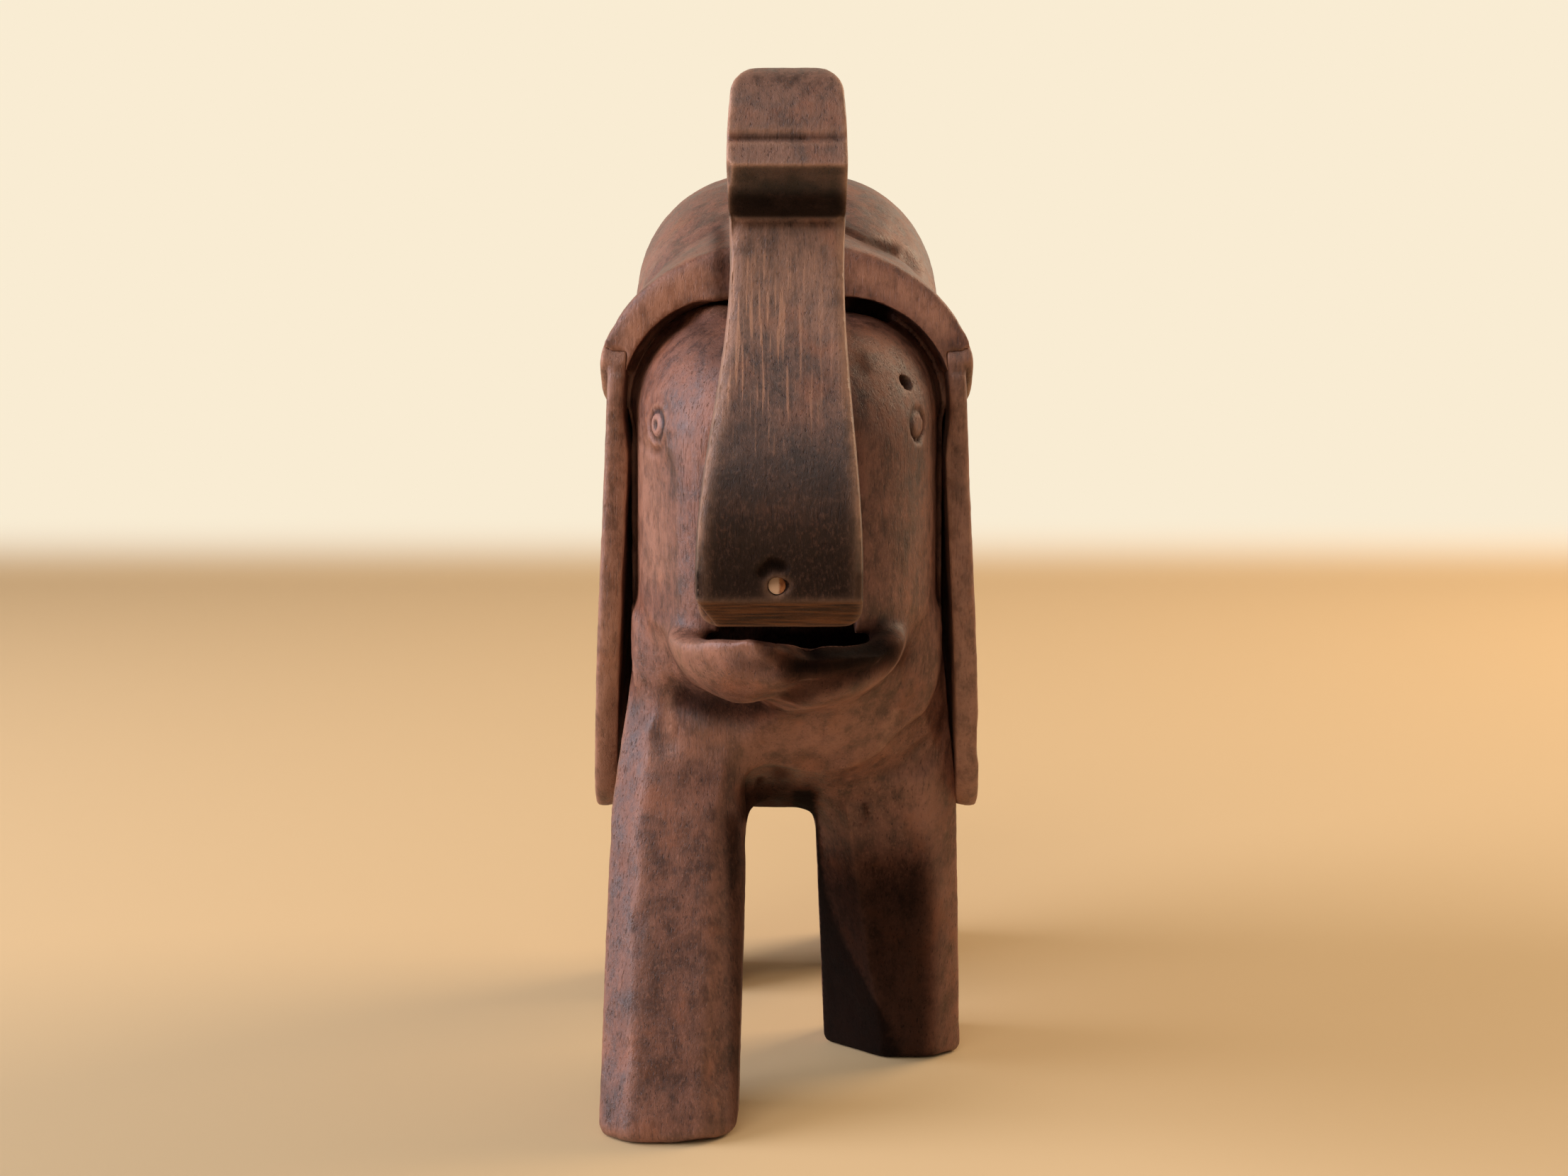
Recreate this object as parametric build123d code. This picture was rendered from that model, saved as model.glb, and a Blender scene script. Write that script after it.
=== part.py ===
from build123d import *
import os
from math import cos, radians, sin, sqrt

# Carved wooden elephant nutcracker. The raised trunk is a lever that swings on a cross pin in the head.
# Lengths are in millimetres and angles in degrees. +Z is up and the elephant faces -Y, so its left is +X.
# The origin is on the ground, under the middle of the whole figure.

# Torso, from the brow back to the rump: place along Y, width, underside and top of each section
BROW_Y = -33.0
BROW_WIDTH = 46.0
CHEST_HEIGHT = 50.5
BROW_HEIGHT = 125.5
NECK_Y = -24.0
NECK_WIDTH = 46.5
NECK_UNDERSIDE = 45.5
NECK_HEIGHT = 126.8
WITHERS_Y = 4.0
WITHERS_WIDTH = 48.0
BELLY_HEIGHT = 39.5
WITHERS_HEIGHT = 139.5
BACK_Y = 26.0
BACK_WIDTH = 48.5
BACK_HEIGHT = 139.5
LOIN_Y = 49.0
LOIN_WIDTH = 47.0
LOIN_UNDERSIDE = 44.0
LOIN_HEIGHT = 130.0
HIP_Y = 63.5
HIP_WIDTH = 40.0
HIP_UNDERSIDE = 54.0
HIP_HEIGHT = 118.5
RUMP_Y = 71.5
RUMP_WIDTH = 29.0
RUMP_UNDERSIDE = 64.0
RUMP_HEIGHT = 106.0
RUMP_END_Y = 75.0
RUMP_END_WIDTH = 15.0
RUMP_END_UNDERSIDE = 76.0
RUMP_END_HEIGHT = 95.0
TORSO_CORNER = 19.0
CORNER_LIMIT = 0.45
BREAST_Y = -41.0
BREAST_WIDTH = 30.0
BREAST_HEIGHT = 61.0
BREAST_TOP = 88.0

# Hood: a cap over the head, whose rim arches over the face
HOOD_WIDTH = 54.6
HOOD_HEIGHT = 128.3
HOOD_SPRING_HEIGHT = 109.0
HOOD_END_HEIGHT = 104.5
HOOD_BACK_Y = 8.0
HOOD_BACK_WIDTH = 46.0
HOOD_BACK_HEIGHT = 138.5

# Face: a domed block in front of the torso, set off from the hood's rim by a groove
FACE_BACK_Y = -25.0
FACE_DEPTH = 25.0
FACE_WIDTH = 44.6
FACE_TOP = 118.3
FACE_BOTTOM = 70.0
CHEEK_ROUND = 15.0
CROWN_ROUND = 13.0
CHIN_ROUND = 3.0
FACE_CORNER = 14.0
JOWL_CORNER = 5.0
FACE_TURNS = (0, 25, 45, 62, 76)
GROOVE_WIDTH = 2.0
GROOVE_END_HEIGHT = 73.0
EYE_Y = -41.0
EYE_HEIGHT = 102.0
EYE_DIAMETER = 5.2
EYE_GROOVE_WIDTH = 0.9
EYE_GROOVE_DEPTH = 0.6

# Lower jaw: a scoop under the trunk, with a hollow that the nut lies in
JAW_RIM_HEIGHT = 73.0
JAW_BOW_Y = -46.0
JAW_WIDTH = 34.0
JAW_DEPTH = 11.0
THROAT_WIDTH = 38.0
THROAT_DEPTH = 17.0
NUT_SEAT_WIDTH = 24.6
NUT_SEAT_DEPTH = 6.5
MOUTH_WIDTH = 19.2
MOUTH_HEIGHT = 7.0

# Trunk lever: heights and reaches of its outline, seen from the side. Drops are measured down from its top.
TRUNK_FOOT_HEIGHT = 76.8
TRUNK_BULGE_RISE = 12.2
TRUNK_TOP_HEIGHT = 149.0
TRUNK_NECK_DROP = 20.0
LIP_DROP = 13.0
CREASE_DROP = 9.4
TRUNK_FOOT_Y = -71.5
TRUNK_BULGE_Y = -79.0
TRUNK_NECK_Y = -68.0
LIP_Y = -75.2
CREASE_Y = -74.0
TIP_Y = -66.0
TIP_BACK_Y = -58.5
TIP_BACK_DROP = 2.5
WAIST_Y = -53.5
WAIST_RISE = 19.0
FOOT_CHAMFER_HEIGHT = 4.0
FOOT_CHAMFER_DEPTH = 5.8
FOOT_CORNER = 2.5
SOLE_LENGTH = 5.0
HEEL_RISE = 1.5
UNDERSIDE_HOLLOW = 3.0

# Trunk lever: widths, seen from the front
TRUNK_FOOT_WIDTH = 21.4
TRUNK_BULGE_WIDTH = 21.2
TRUNK_NECK_WIDTH = 14.9
SLIMMEST_DROP = 26.0
LIP_WIDTH = 15.4
TIP_WIDTH = 14.6
TIP_CORNER = 4.0
FOOT_SHIFT = -1.0

# Tongue of the lever and the slot in the face that it turns in
TONGUE_WIDTH = 14.4
TONGUE_END_RADIUS = 9.2
TONGUE_END_TURN = 130.0
TONGUE_SIDE_CLEARANCE = 0.3
TONGUE_END_CLEARANCE = 1.0
STOP_CLEARANCE = 0.4

# Pivot pin: driven in from the left cheek, blind in the right one
PIVOT_Y = -41.0
PIVOT_HEIGHT = 108.0
PIN_DIAMETER = 2.2
PIN_FIT = 0.02
PIN_RUNNING_CLEARANCE = 0.06
PIN_RECESS = 1.2
PIN_BLIND_WALL = 3.0

# Legs: chamfered posts in stride, with both right feet forward and both left feet back
SHOULDER_HEIGHT = 72.0
ELBOW_HEIGHT = 45.0
SHOULDER_X = 12.0
ELBOW_X = 15.9
FOOT_X = 17.1
RIGHT_FORE_WIDTH = 20.0
LEFT_FORE_WIDTH = 21.8
LEFT_ELBOW_X = 15.2
HIND_WIDTH = 17.5
HIND_ELBOW_X = 16.2
HIND_FOOT_X = 17.9
SHOULDER_DEPTH = 24.0
FOOT_DEPTH = 21.0
LEG_CHAMFER = 4.5
WORN_CHAMFER = 9.5
FOOT_ROUND = 1.6
FORE_SHOULDER_Y = -20.0
RIGHT_FORE_FOOT_Y = -42.5
LEFT_FORE_FOOT_Y = -1.5
HIP_JOINT_Y = 44.0
RIGHT_HIND_FOOT_Y = 36.5
LEFT_HIND_FOOT_Y = 60.0

# Ears: thin boards let into the hood's sides, leaning out towards their lower ends
EAR_TOP = 118.5
EAR_BOTTOM = 42.0
EAR_FRONT_Y = -33.5
EAR_BACK_Y = 16.5
EAR_THICKNESS = 2.6
EAR_LEAN = 3.0
EAR_SEAT_HEIGHT = 113.0
EAR_EDGE_ROUND = 0.9
EAR_SEAT_CLEARANCE = 0.15
EAR_ROLL_HEIGHT = 1.2
EAR_ROLL_LENGTH = 44.0
EAR_ROLL_WIDTH = 15.0
EAR_ROLL_DROP = 1.5
EAR_ROLL_ROUND = 0.9
PEG_DIAMETER = 4.0
PEG_IN_BODY = 7.0
PEG_IN_EAR = 1.8
PEG_INSET = 18.0
PEG_SPACING = 13.0
PEG_CLEARANCE = 0.05

# Tail: a thin strip that hangs from a round tenon in the rump, close behind it
TAIL_TOP_HEIGHT = 105.0
TENON_HEIGHT = 101.0
TAIL_END_HEIGHT = 52.0
TAIL_WIDTH = 5.0
TAIL_WAIST_WIDTH = 3.6
TAIL_THICKNESS = 3.6
TUFT_WIDTH = 6.4
TUFT_LENGTH = 15.0
TAIL_STANDOFF = 0.4
TENON_DIAMETER = 3.2
TENON_LENGTH = 9.0
TENON_CLEARANCE = 0.05

# Pale plug at the foot of the trunk's front
PLUG_DIAMETER = 2.2
PLUG_LENGTH = 6.0
PLUG_CLEARANCE = 0.1
PLUG_RECESS = 0.3
PLUG_X = -1.3
PLUG_RISE = 6.0

# Sizes that follow from the ones above
EAR_INNER_X = NECK_WIDTH / 2
EAR_ROLL_Y = EAR_FRONT_Y + EAR_ROLL_LENGTH / 2
PEG_Y = EAR_FRONT_Y + PEG_INSET
SLOT_WIDTH = TONGUE_WIDTH + 2 * TONGUE_SIDE_CLEARANCE
SLOT_BACK_Y = PIVOT_Y + TONGUE_END_RADIUS + TONGUE_END_CLEARANCE
FACE_FRONT_Y = FACE_BACK_Y - FACE_DEPTH * sin(radians(FACE_TURNS[-1]))
STOP_Y = FACE_FRONT_Y - STOP_CLEARANCE
TRUNK_BULGE_HEIGHT = TRUNK_FOOT_HEIGHT + TRUNK_BULGE_RISE
TRUNK_NECK_HEIGHT = TRUNK_TOP_HEIGHT - TRUNK_NECK_DROP
LIP_HEIGHT = TRUNK_TOP_HEIGHT - LIP_DROP
CREASE_HEIGHT = TRUNK_TOP_HEIGHT - CREASE_DROP
SLIMMEST_HEIGHT = TRUNK_TOP_HEIGHT - SLIMMEST_DROP
WAIST_HEIGHT = PIVOT_HEIGHT + WAIST_RISE
FOOT_CHAMFER_Y = TRUNK_FOOT_Y - FOOT_CHAMFER_DEPTH
FOOT_CHAMFER_TOP = TRUNK_FOOT_HEIGHT + FOOT_CHAMFER_HEIGHT
PLUG_HEIGHT = TRUNK_FOOT_HEIGHT + PLUG_RISE
PLUG_FRONT_Y = FOOT_CHAMFER_Y + PLUG_RECESS
CLEAR = 40.0


def across(y, z):
    """Plane across the body at y, with its origin at height z."""
    return Plane(origin=(0, y, z), x_dir=(1, 0, 0), z_dir=(0, -1, 0))


def cross_section(y, width, underside, top, corner):
    """Rounded section across the body at y."""
    height = top - underside
    radius = min(corner, CORNER_LIMIT * width, CORNER_LIMIT * height)
    return across(y, (underside + top) / 2) * RectangleRounded(width, height, radius)


def torso():
    sections = [
        (BROW_Y, BROW_WIDTH, CHEST_HEIGHT, BROW_HEIGHT),
        (NECK_Y, NECK_WIDTH, NECK_UNDERSIDE, NECK_HEIGHT),
        (WITHERS_Y, WITHERS_WIDTH, BELLY_HEIGHT, WITHERS_HEIGHT),
        (BACK_Y, BACK_WIDTH, BELLY_HEIGHT, BACK_HEIGHT),
        (LOIN_Y, LOIN_WIDTH, LOIN_UNDERSIDE, LOIN_HEIGHT),
        (HIP_Y, HIP_WIDTH, HIP_UNDERSIDE, HIP_HEIGHT),
        (RUMP_Y, RUMP_WIDTH, RUMP_UNDERSIDE, RUMP_HEIGHT),
        (RUMP_END_Y, RUMP_END_WIDTH, RUMP_END_UNDERSIDE, RUMP_END_HEIGHT),
    ]
    return loft([cross_section(*section, TORSO_CORNER) for section in sections])


def breast():
    """Rounded front of the chest, under the throat."""
    foot = cross_section(BROW_Y, BROW_WIDTH, CHEST_HEIGHT, BREAST_TOP, TORSO_CORNER)
    return loft([foot, cross_section(BREAST_Y, BREAST_WIDTH, BREAST_HEIGHT, BREAST_TOP, TORSO_CORNER)])


def arch(y, width, height):
    """Arch across the body at y: short upright ends, then half an ellipse."""
    curve = EllipticalCenterArc(
        (0, HOOD_SPRING_HEIGHT), width / 2, height - HOOD_SPRING_HEIGHT, start_angle=0, arc_size=180
    )
    ends = Polyline(curve @ 1, (-width / 2, HOOD_END_HEIGHT), (width / 2, HOOD_END_HEIGHT), curve @ 0)
    return across(y, 0) * make_face([curve, *ends.edges()])


def hood():
    rim = arch(BROW_Y, HOOD_WIDTH, HOOD_HEIGHT)
    return loft([rim, arch(HOOD_BACK_Y, HOOD_BACK_WIDTH, HOOD_BACK_HEIGHT)])


def face_outline(y, width, underside, top, corner):
    """Section across the head at y: a round crown over squarer jowls."""
    block = Rectangle(width, top - underside)
    corners = block.vertices().sort_by(Axis.Y)
    block = fillet(corners[:2], JOWL_CORNER)
    crown = block.vertices().sort_by(Axis.Y)[-2:]
    return across(y, (underside + top) / 2) * fillet(crown, corner)


def face_section(y):
    """Section of the face at y: cheeks, crown and chin draw in along quarter ellipses."""
    reach = (FACE_BACK_Y - y) / FACE_DEPTH
    drawn_in = 1 - sqrt(1 - reach * reach)
    width = FACE_WIDTH - 2 * CHEEK_ROUND * drawn_in
    corner = min(FACE_CORNER, CORNER_LIMIT * width)
    return face_outline(y, width, FACE_BOTTOM + CHIN_ROUND * drawn_in, FACE_TOP - CROWN_ROUND * drawn_in, corner)


def face_recess():
    """Room that the face stands in, wider than the face by the groove."""
    width = FACE_WIDTH + 2 * GROOVE_WIDTH
    corner = FACE_CORNER + GROOVE_WIDTH
    outline = face_outline(FACE_BACK_Y, width, GROOVE_END_HEIGHT, FACE_TOP + GROOVE_WIDTH, corner)
    return extrude(outline, FACE_DEPTH)


def face():
    return loft([face_section(FACE_BACK_Y - FACE_DEPTH * sin(radians(turn))) for turn in FACE_TURNS])


def cheek_x(y, z):
    """Half width of the face at y and z, measured on its section there."""
    level = Edge.make_line((-BROW_WIDTH, y, z), (BROW_WIDTH, y, z))
    return (face_section(y) & level).bounding_box().max.X


def eye_groove(side):
    """Ring cut round an eye, square to the cheek; side is 1 for the left and -1 for the right."""
    reach = (FACE_BACK_Y - EYE_Y) / FACE_DEPTH
    outward = (side * sqrt(1 - reach * reach) / CHEEK_ROUND, -reach / FACE_DEPTH, 0)
    cheek = Plane(origin=(side * cheek_x(EYE_Y, EYE_HEIGHT), EYE_Y, EYE_HEIGHT), z_dir=outward)
    ring = Circle(EYE_DIAMETER / 2) - Circle(EYE_DIAMETER / 2 - EYE_GROOVE_WIDTH)
    return extrude(cheek.offset(-EYE_GROOVE_DEPTH) * ring, EYE_DIAMETER)


def half_ellipse(y, width, depth):
    """Lower half of an ellipse across the body at y, with its flat side at the height of the jaw's rim."""
    arc = EllipticalCenterArc((0, 0), width / 2, depth, start_angle=180, arc_size=180)
    return across(y, JAW_RIM_HEIGHT) * make_face([arc, Line(arc @ 1, arc @ 0)])


def bow(width, depth):
    """Round front of a boat shape under the jaw's rim."""
    arc = EllipticalCenterArc((0, 0), width / 2, depth, start_angle=270, arc_size=90)
    quarter = make_face([arc, Line(arc @ 1, (0, 0)), Line((0, 0), arc @ 0)])
    return Pos(0, JAW_BOW_Y, JAW_RIM_HEIGHT) * revolve(Plane.XZ * quarter, Axis.Z)


def jaw():
    """Scoop in front that deepens into the throat behind."""
    lip = half_ellipse(JAW_BOW_Y, JAW_WIDTH, JAW_DEPTH)
    throat = half_ellipse(FACE_BACK_Y, THROAT_WIDTH, THROAT_DEPTH)
    return bow(JAW_WIDTH, JAW_DEPTH) + loft([lip, throat])


def mouth():
    """Room for the nut: the hollow in the jaw and the space over it, under the cheeks."""
    run_length = SLOT_BACK_Y - JAW_BOW_Y
    hollow = extrude(half_ellipse(SLOT_BACK_Y, NUT_SEAT_WIDTH, NUT_SEAT_DEPTH), run_length)
    length = run_length + NUT_SEAT_WIDTH / 2
    middle = Pos(0, SLOT_BACK_Y - length / 2, JAW_RIM_HEIGHT + MOUTH_HEIGHT / 2)
    return bow(NUT_SEAT_WIDTH, NUT_SEAT_DEPTH) + hollow + middle * Box(MOUTH_WIDTH, length, MOUTH_HEIGHT)


def slot():
    """Upright slot in the face, open to the front, above and into the mouth."""
    length = SLOT_BACK_Y - FACE_FRONT_Y + CLEAR
    height = FACE_TOP + GROOVE_WIDTH - JAW_RIM_HEIGHT
    middle = Pos(0, SLOT_BACK_Y - length / 2, JAW_RIM_HEIGHT + height / 2)
    return middle * Box(SLOT_WIDTH, length, height)


def pin_hole(radius):
    """Bore from outside the left cheek to the blind end in the right one."""
    blind_x = PIN_BLIND_WALL - cheek_x(PIVOT_Y, PIVOT_HEIGHT)
    start = Plane(origin=(blind_x, PIVOT_Y, PIVOT_HEIGHT), z_dir=(1, 0, 0))
    return extrude(start * Circle(radius), CLEAR)


def pivot_pin():
    """Plain round pin, sunk a little below the left cheek."""
    reach = cheek_x(PIVOT_Y, PIVOT_HEIGHT)
    start = Plane(origin=(PIN_BLIND_WALL - reach, PIVOT_Y, PIVOT_HEIGHT), z_dir=(1, 0, 0))
    return extrude(start * Circle(PIN_DIAMETER / 2), 2 * reach - PIN_BLIND_WALL - PIN_RECESS)


def leg_section(side, width, x, y, z, depth, inner_chamfer):
    """Post section with cut corners; the inner front corner has its own chamfer."""
    inner = -side * width / 2
    outer = side * width / 2
    front = -depth / 2
    back = depth / 2
    cut = side * LEG_CHAMFER
    corners = Polyline(
        (inner, front + inner_chamfer),
        (inner + side * inner_chamfer, front),
        (outer - cut, front),
        (outer, front + LEG_CHAMFER),
        (outer, back - LEG_CHAMFER),
        (outer - cut, back),
        (inner + cut, back),
        (inner, back - LEG_CHAMFER),
        close=True,
    )
    return Pos(side * x, y, z) * make_face(corners)


def leg(side, width, elbow_x, foot_x, shoulder_y, foot_y, foot_chamfer):
    """Leg from inside the torso to the ground; side is 1 for the left and -1 for the right."""
    share = ELBOW_HEIGHT / SHOULDER_HEIGHT
    elbow_y = foot_y + (shoulder_y - foot_y) * share
    elbow_depth = FOOT_DEPTH + (SHOULDER_DEPTH - FOOT_DEPTH) * share
    sections = [
        leg_section(side, width, SHOULDER_X, shoulder_y, SHOULDER_HEIGHT, SHOULDER_DEPTH, LEG_CHAMFER),
        leg_section(side, width, elbow_x, elbow_y, ELBOW_HEIGHT, elbow_depth, LEG_CHAMFER),
        leg_section(side, width, foot_x, foot_y, 0, FOOT_DEPTH, foot_chamfer),
    ]
    post = loft(sections, ruled=True)
    return fillet(post.edges().group_by(Axis.Z)[0], FOOT_ROUND)


def ear_plane():
    """Inner face of the left ear, with its own x along +Y and its origin at the seat's height."""
    lean = radians(EAR_LEAN)
    normal = (cos(lean), 0, sin(lean))
    return Plane(origin=(EAR_INNER_X, 0, EAR_SEAT_HEIGHT), x_dir=(0, 1, 0), z_dir=normal)


def ear_outline(margin=0.0):
    """Left ear's outline on its plane: broad above, drawn down to a rounded lobe."""
    top = EAR_TOP - EAR_SEAT_HEIGHT + margin
    bottom = EAR_BOTTOM - EAR_SEAT_HEIGHT - margin
    front = EAR_FRONT_Y - margin
    back = EAR_BACK_Y + margin
    height = top - bottom
    length = back - front
    outline = Spline(
        (front, top - 0.20 * height),
        (front + 0.06 * length, top - 0.04 * height),
        (front + 0.40 * length, top),
        (back - 0.14 * length, top - 0.05 * height),
        (back, top - 0.27 * height),
        (back - 0.20 * length, top - 0.68 * height),
        (back - 0.48 * length, bottom + 0.03 * height),
        (front + 0.33 * length, bottom),
        (front + 0.14 * length, bottom + 0.14 * height),
        (front + 0.03 * length, top - 0.55 * height),
        periodic=True,
    )
    return make_face(outline)


def ear_pegs(radius):
    """Two dowels through the left ear's seat."""
    places = [Pos(PEG_Y + step * PEG_SPACING / 2, 0) for step in (-1, 1)]
    start = ear_plane().offset(-PEG_IN_BODY)
    return [extrude(start * (place * Circle(radius)), PEG_IN_BODY + PEG_IN_EAR) for place in places]


def left_ear():
    """Board with a long roll at its root, cut off above in line with the hood."""
    board = extrude(ear_plane() * ear_outline(), EAR_THICKNESS)
    board = fillet(board.edges().filter_by(GeomType.BSPLINE), EAR_EDGE_ROUND)
    root = Pos(EAR_ROLL_Y, -EAR_ROLL_DROP) * Ellipse(EAR_ROLL_LENGTH / 2, EAR_ROLL_WIDTH / 2)
    roll = extrude(ear_plane() * root, EAR_THICKNESS + EAR_ROLL_HEIGHT)
    roll = fillet(roll.edges().sort_by(Axis.X)[-1], EAR_ROLL_ROUND)
    roll &= extrude(ear_plane() * ear_outline(), EAR_THICKNESS + EAR_ROLL_HEIGHT)
    under_hood = extrude(arch(EAR_BACK_Y, HOOD_WIDTH, HOOD_HEIGHT), EAR_BACK_Y - EAR_FRONT_Y)
    above = Pos(0, 0, HOOD_SPRING_HEIGHT + CLEAR) * Box(4 * CLEAR, 4 * CLEAR, 2 * CLEAR)
    return board + roll - (above - under_hood) - ear_pegs(PEG_DIAMETER / 2 + PEG_CLEARANCE)


def ear_seat():
    """Flat recess in the body's side that the left ear is let into."""
    return extrude(ear_plane() * ear_outline(EAR_SEAT_CLEARANCE), CLEAR)


def rump_y(z):
    """How far back the torso reaches in its middle plane at height z."""
    level = Edge.make_line((0, 0, z), (0, RUMP_END_Y + CLEAR, z))
    return (torso() & level).bounding_box().max.Y


def tail_side():
    """Tail seen from the side: it follows the rump from the tenon down, then hangs free."""
    heights = (TAIL_TOP_HEIGHT, TENON_HEIGHT, RUMP_END_HEIGHT, RUMP_END_UNDERSIDE)
    inner = [(rump_y(z) + TAIL_STANDOFF, z) for z in heights]
    inner.append((inner[-1][0], TAIL_END_HEIGHT))
    outer = [(y + TAIL_THICKNESS, z) for y, z in inner]
    ends = [Line(inner[0], outer[0]), Line(inner[-1], outer[-1])]
    return Plane.YZ * make_face([Spline(*inner), Spline(*outer), *ends])


def tail_front():
    """Tail's widths seen from behind: round top, slim waist, leaf-shaped tuft."""
    top = (0, TAIL_TOP_HEIGHT)
    root = (TAIL_WIDTH / 2, TENON_HEIGHT)
    waist = (TAIL_WAIST_WIDTH / 2, TAIL_END_HEIGHT + TUFT_LENGTH)
    tuft = (TUFT_WIDTH / 2, TAIL_END_HEIGHT + TUFT_LENGTH / 2)
    end = (0, TAIL_END_HEIGHT)
    edges = [
        Spline(top, root, tangents=[(1, 0), (0, -1)]),
        Line(root, waist),
        Spline(waist, tuft, end, tangents=[(0, -1), (-1, -1)]),
        Line(end, top),
    ]
    half = make_face(edges)
    return Plane.XZ * (half + mirror(half, Plane.YZ))


def tenon(radius, length):
    """Round tenon that runs forward from inside the tail into the rump."""
    inner_y = rump_y(TENON_HEIGHT) + TAIL_STANDOFF
    start = Plane(origin=(0, inner_y + TAIL_THICKNESS / 2, TENON_HEIGHT), z_dir=(0, -1, 0))
    return extrude(start * Circle(radius), TAIL_THICKNESS / 2 + length)


def tail():
    strip = extrude(tail_side(), TUFT_WIDTH, both=True) & extrude(tail_front(), 2 * RUMP_END_Y, both=True)
    return strip + tenon(TENON_DIAMETER / 2, TENON_LENGTH)


def carved_body():
    """Torso, hood, face, jaw and legs, carved from one block."""
    body = torso() + breast() + hood() - face_recess()
    body += face()
    body += jaw()
    body += leg(-1, RIGHT_FORE_WIDTH, ELBOW_X, FOOT_X, FORE_SHOULDER_Y, RIGHT_FORE_FOOT_Y, LEG_CHAMFER)
    body += leg(1, LEFT_FORE_WIDTH, LEFT_ELBOW_X, FOOT_X, FORE_SHOULDER_Y, LEFT_FORE_FOOT_Y, WORN_CHAMFER)
    body += leg(-1, HIND_WIDTH, HIND_ELBOW_X, HIND_FOOT_X, HIP_JOINT_Y, RIGHT_HIND_FOOT_Y, LEG_CHAMFER)
    body += leg(1, HIND_WIDTH, HIND_ELBOW_X, HIND_FOOT_X, HIP_JOINT_Y, LEFT_HIND_FOOT_Y, LEG_CHAMFER)
    body -= slot()
    body -= mouth()
    body -= pin_hole(PIN_DIAMETER / 2 + PIN_FIT)
    body -= eye_groove(1)
    body -= eye_groove(-1)
    seat = ear_seat() + ear_pegs(PEG_DIAMETER / 2 + PEG_CLEARANCE)
    body -= seat
    body -= mirror(seat, Plane.YZ)
    body -= tenon(TENON_DIAMETER / 2 + TENON_CLEARANCE, TENON_LENGTH + TENON_CLEARANCE)
    return body


def trunk_side():
    """Lever seen from the side, from the crushing foot up the front, over the tip and down to the tongue."""
    foot = (TRUNK_FOOT_Y, TRUNK_FOOT_HEIGHT)
    chamfer = (FOOT_CHAMFER_Y, FOOT_CHAMFER_TOP)
    bulge = (TRUNK_BULGE_Y, TRUNK_BULGE_HEIGHT)
    neck = (TRUNK_NECK_Y, TRUNK_NECK_HEIGHT)
    lip = (LIP_Y, LIP_HEIGHT)
    crease = (CREASE_Y, CREASE_HEIGHT)
    tip = (TIP_Y, TRUNK_TOP_HEIGHT)
    tip_back = (TIP_BACK_Y, TRUNK_TOP_HEIGHT - TIP_BACK_DROP)
    waist = (WAIST_Y, WAIST_HEIGHT)
    tongue_end = CenterArc((PIVOT_Y, PIVOT_HEIGHT), TONGUE_END_RADIUS, 90, -TONGUE_END_TURN)
    heel = (STOP_Y, TRUNK_FOOT_HEIGHT + HEEL_RISE)
    sole = (TRUNK_FOOT_Y + SOLE_LENGTH, TRUNK_FOOT_HEIGHT)
    hollow = ((heel[0] + sole[0]) / 2, TRUNK_FOOT_HEIGHT + UNDERSIDE_HOLLOW)
    edges = [
        Line(foot, chamfer),
        Spline(chamfer, bulge, neck, tangents=[(-0.25, 1), (0.1, 1)]),
        Line(neck, lip),
        Line(lip, crease),
        Spline(crease, tip, tangents=[(0.2, 1), (1, 0)]),
        Spline(tip, tip_back, waist, tongue_end @ 0, tangents=[(1, 0), (1, 0)]),
        tongue_end,
        Line(tongue_end @ 1, heel),
        ThreePointArc(heel, hollow, sole),
        Line(sole, foot),
    ]
    return Plane.YZ * make_face(edges)


def trunk_half(shift):
    """Right-hand half of the lever's front view, its foot moved out by shift."""
    side = (shift + TRUNK_FOOT_WIDTH / 2, TRUNK_FOOT_HEIGHT + FOOT_CORNER)
    foot = (side[0] - FOOT_CORNER, TRUNK_FOOT_HEIGHT)
    bulge = (shift + TRUNK_BULGE_WIDTH / 2, TRUNK_BULGE_HEIGHT)
    neck = (TRUNK_NECK_WIDTH / 2, SLIMMEST_HEIGHT)
    lip = (LIP_WIDTH / 2, LIP_HEIGHT)
    tip = (TIP_WIDTH / 2, TRUNK_TOP_HEIGHT - TIP_CORNER)
    corner = (TIP_WIDTH / 2 - TIP_CORNER, TRUNK_TOP_HEIGHT)
    top = (0, TRUNK_TOP_HEIGHT)
    bottom = (0, TRUNK_FOOT_HEIGHT)
    edges = [
        Spline(side, bulge, neck, lip, tip),
        TangentArc(tip, corner, tangent=(0, 1)),
        Line(corner, top),
        Line(top, bottom),
        Line(bottom, foot),
        TangentArc(foot, side, tangent=(1, 0)),
    ]
    return make_face(edges)


def trunk_front():
    """Lever's widths seen from the front: broad foot set a little to the right, slim neck, rounded tip."""
    return Plane.XZ * (trunk_half(FOOT_SHIFT) + mirror(trunk_half(-FOOT_SHIFT), Plane.YZ))


def plug_bore(radius, front_y, length):
    """Round bar along +Y at the plug's place."""
    start = Plane(origin=(PLUG_X, front_y, PLUG_HEIGHT), z_dir=(0, 1, 0))
    return extrude(start * Circle(radius), length)


def trunk_plug():
    """Plug just below the trunk's front."""
    return plug_bore(PLUG_DIAMETER / 2, PLUG_FRONT_Y, PLUG_LENGTH)


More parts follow.
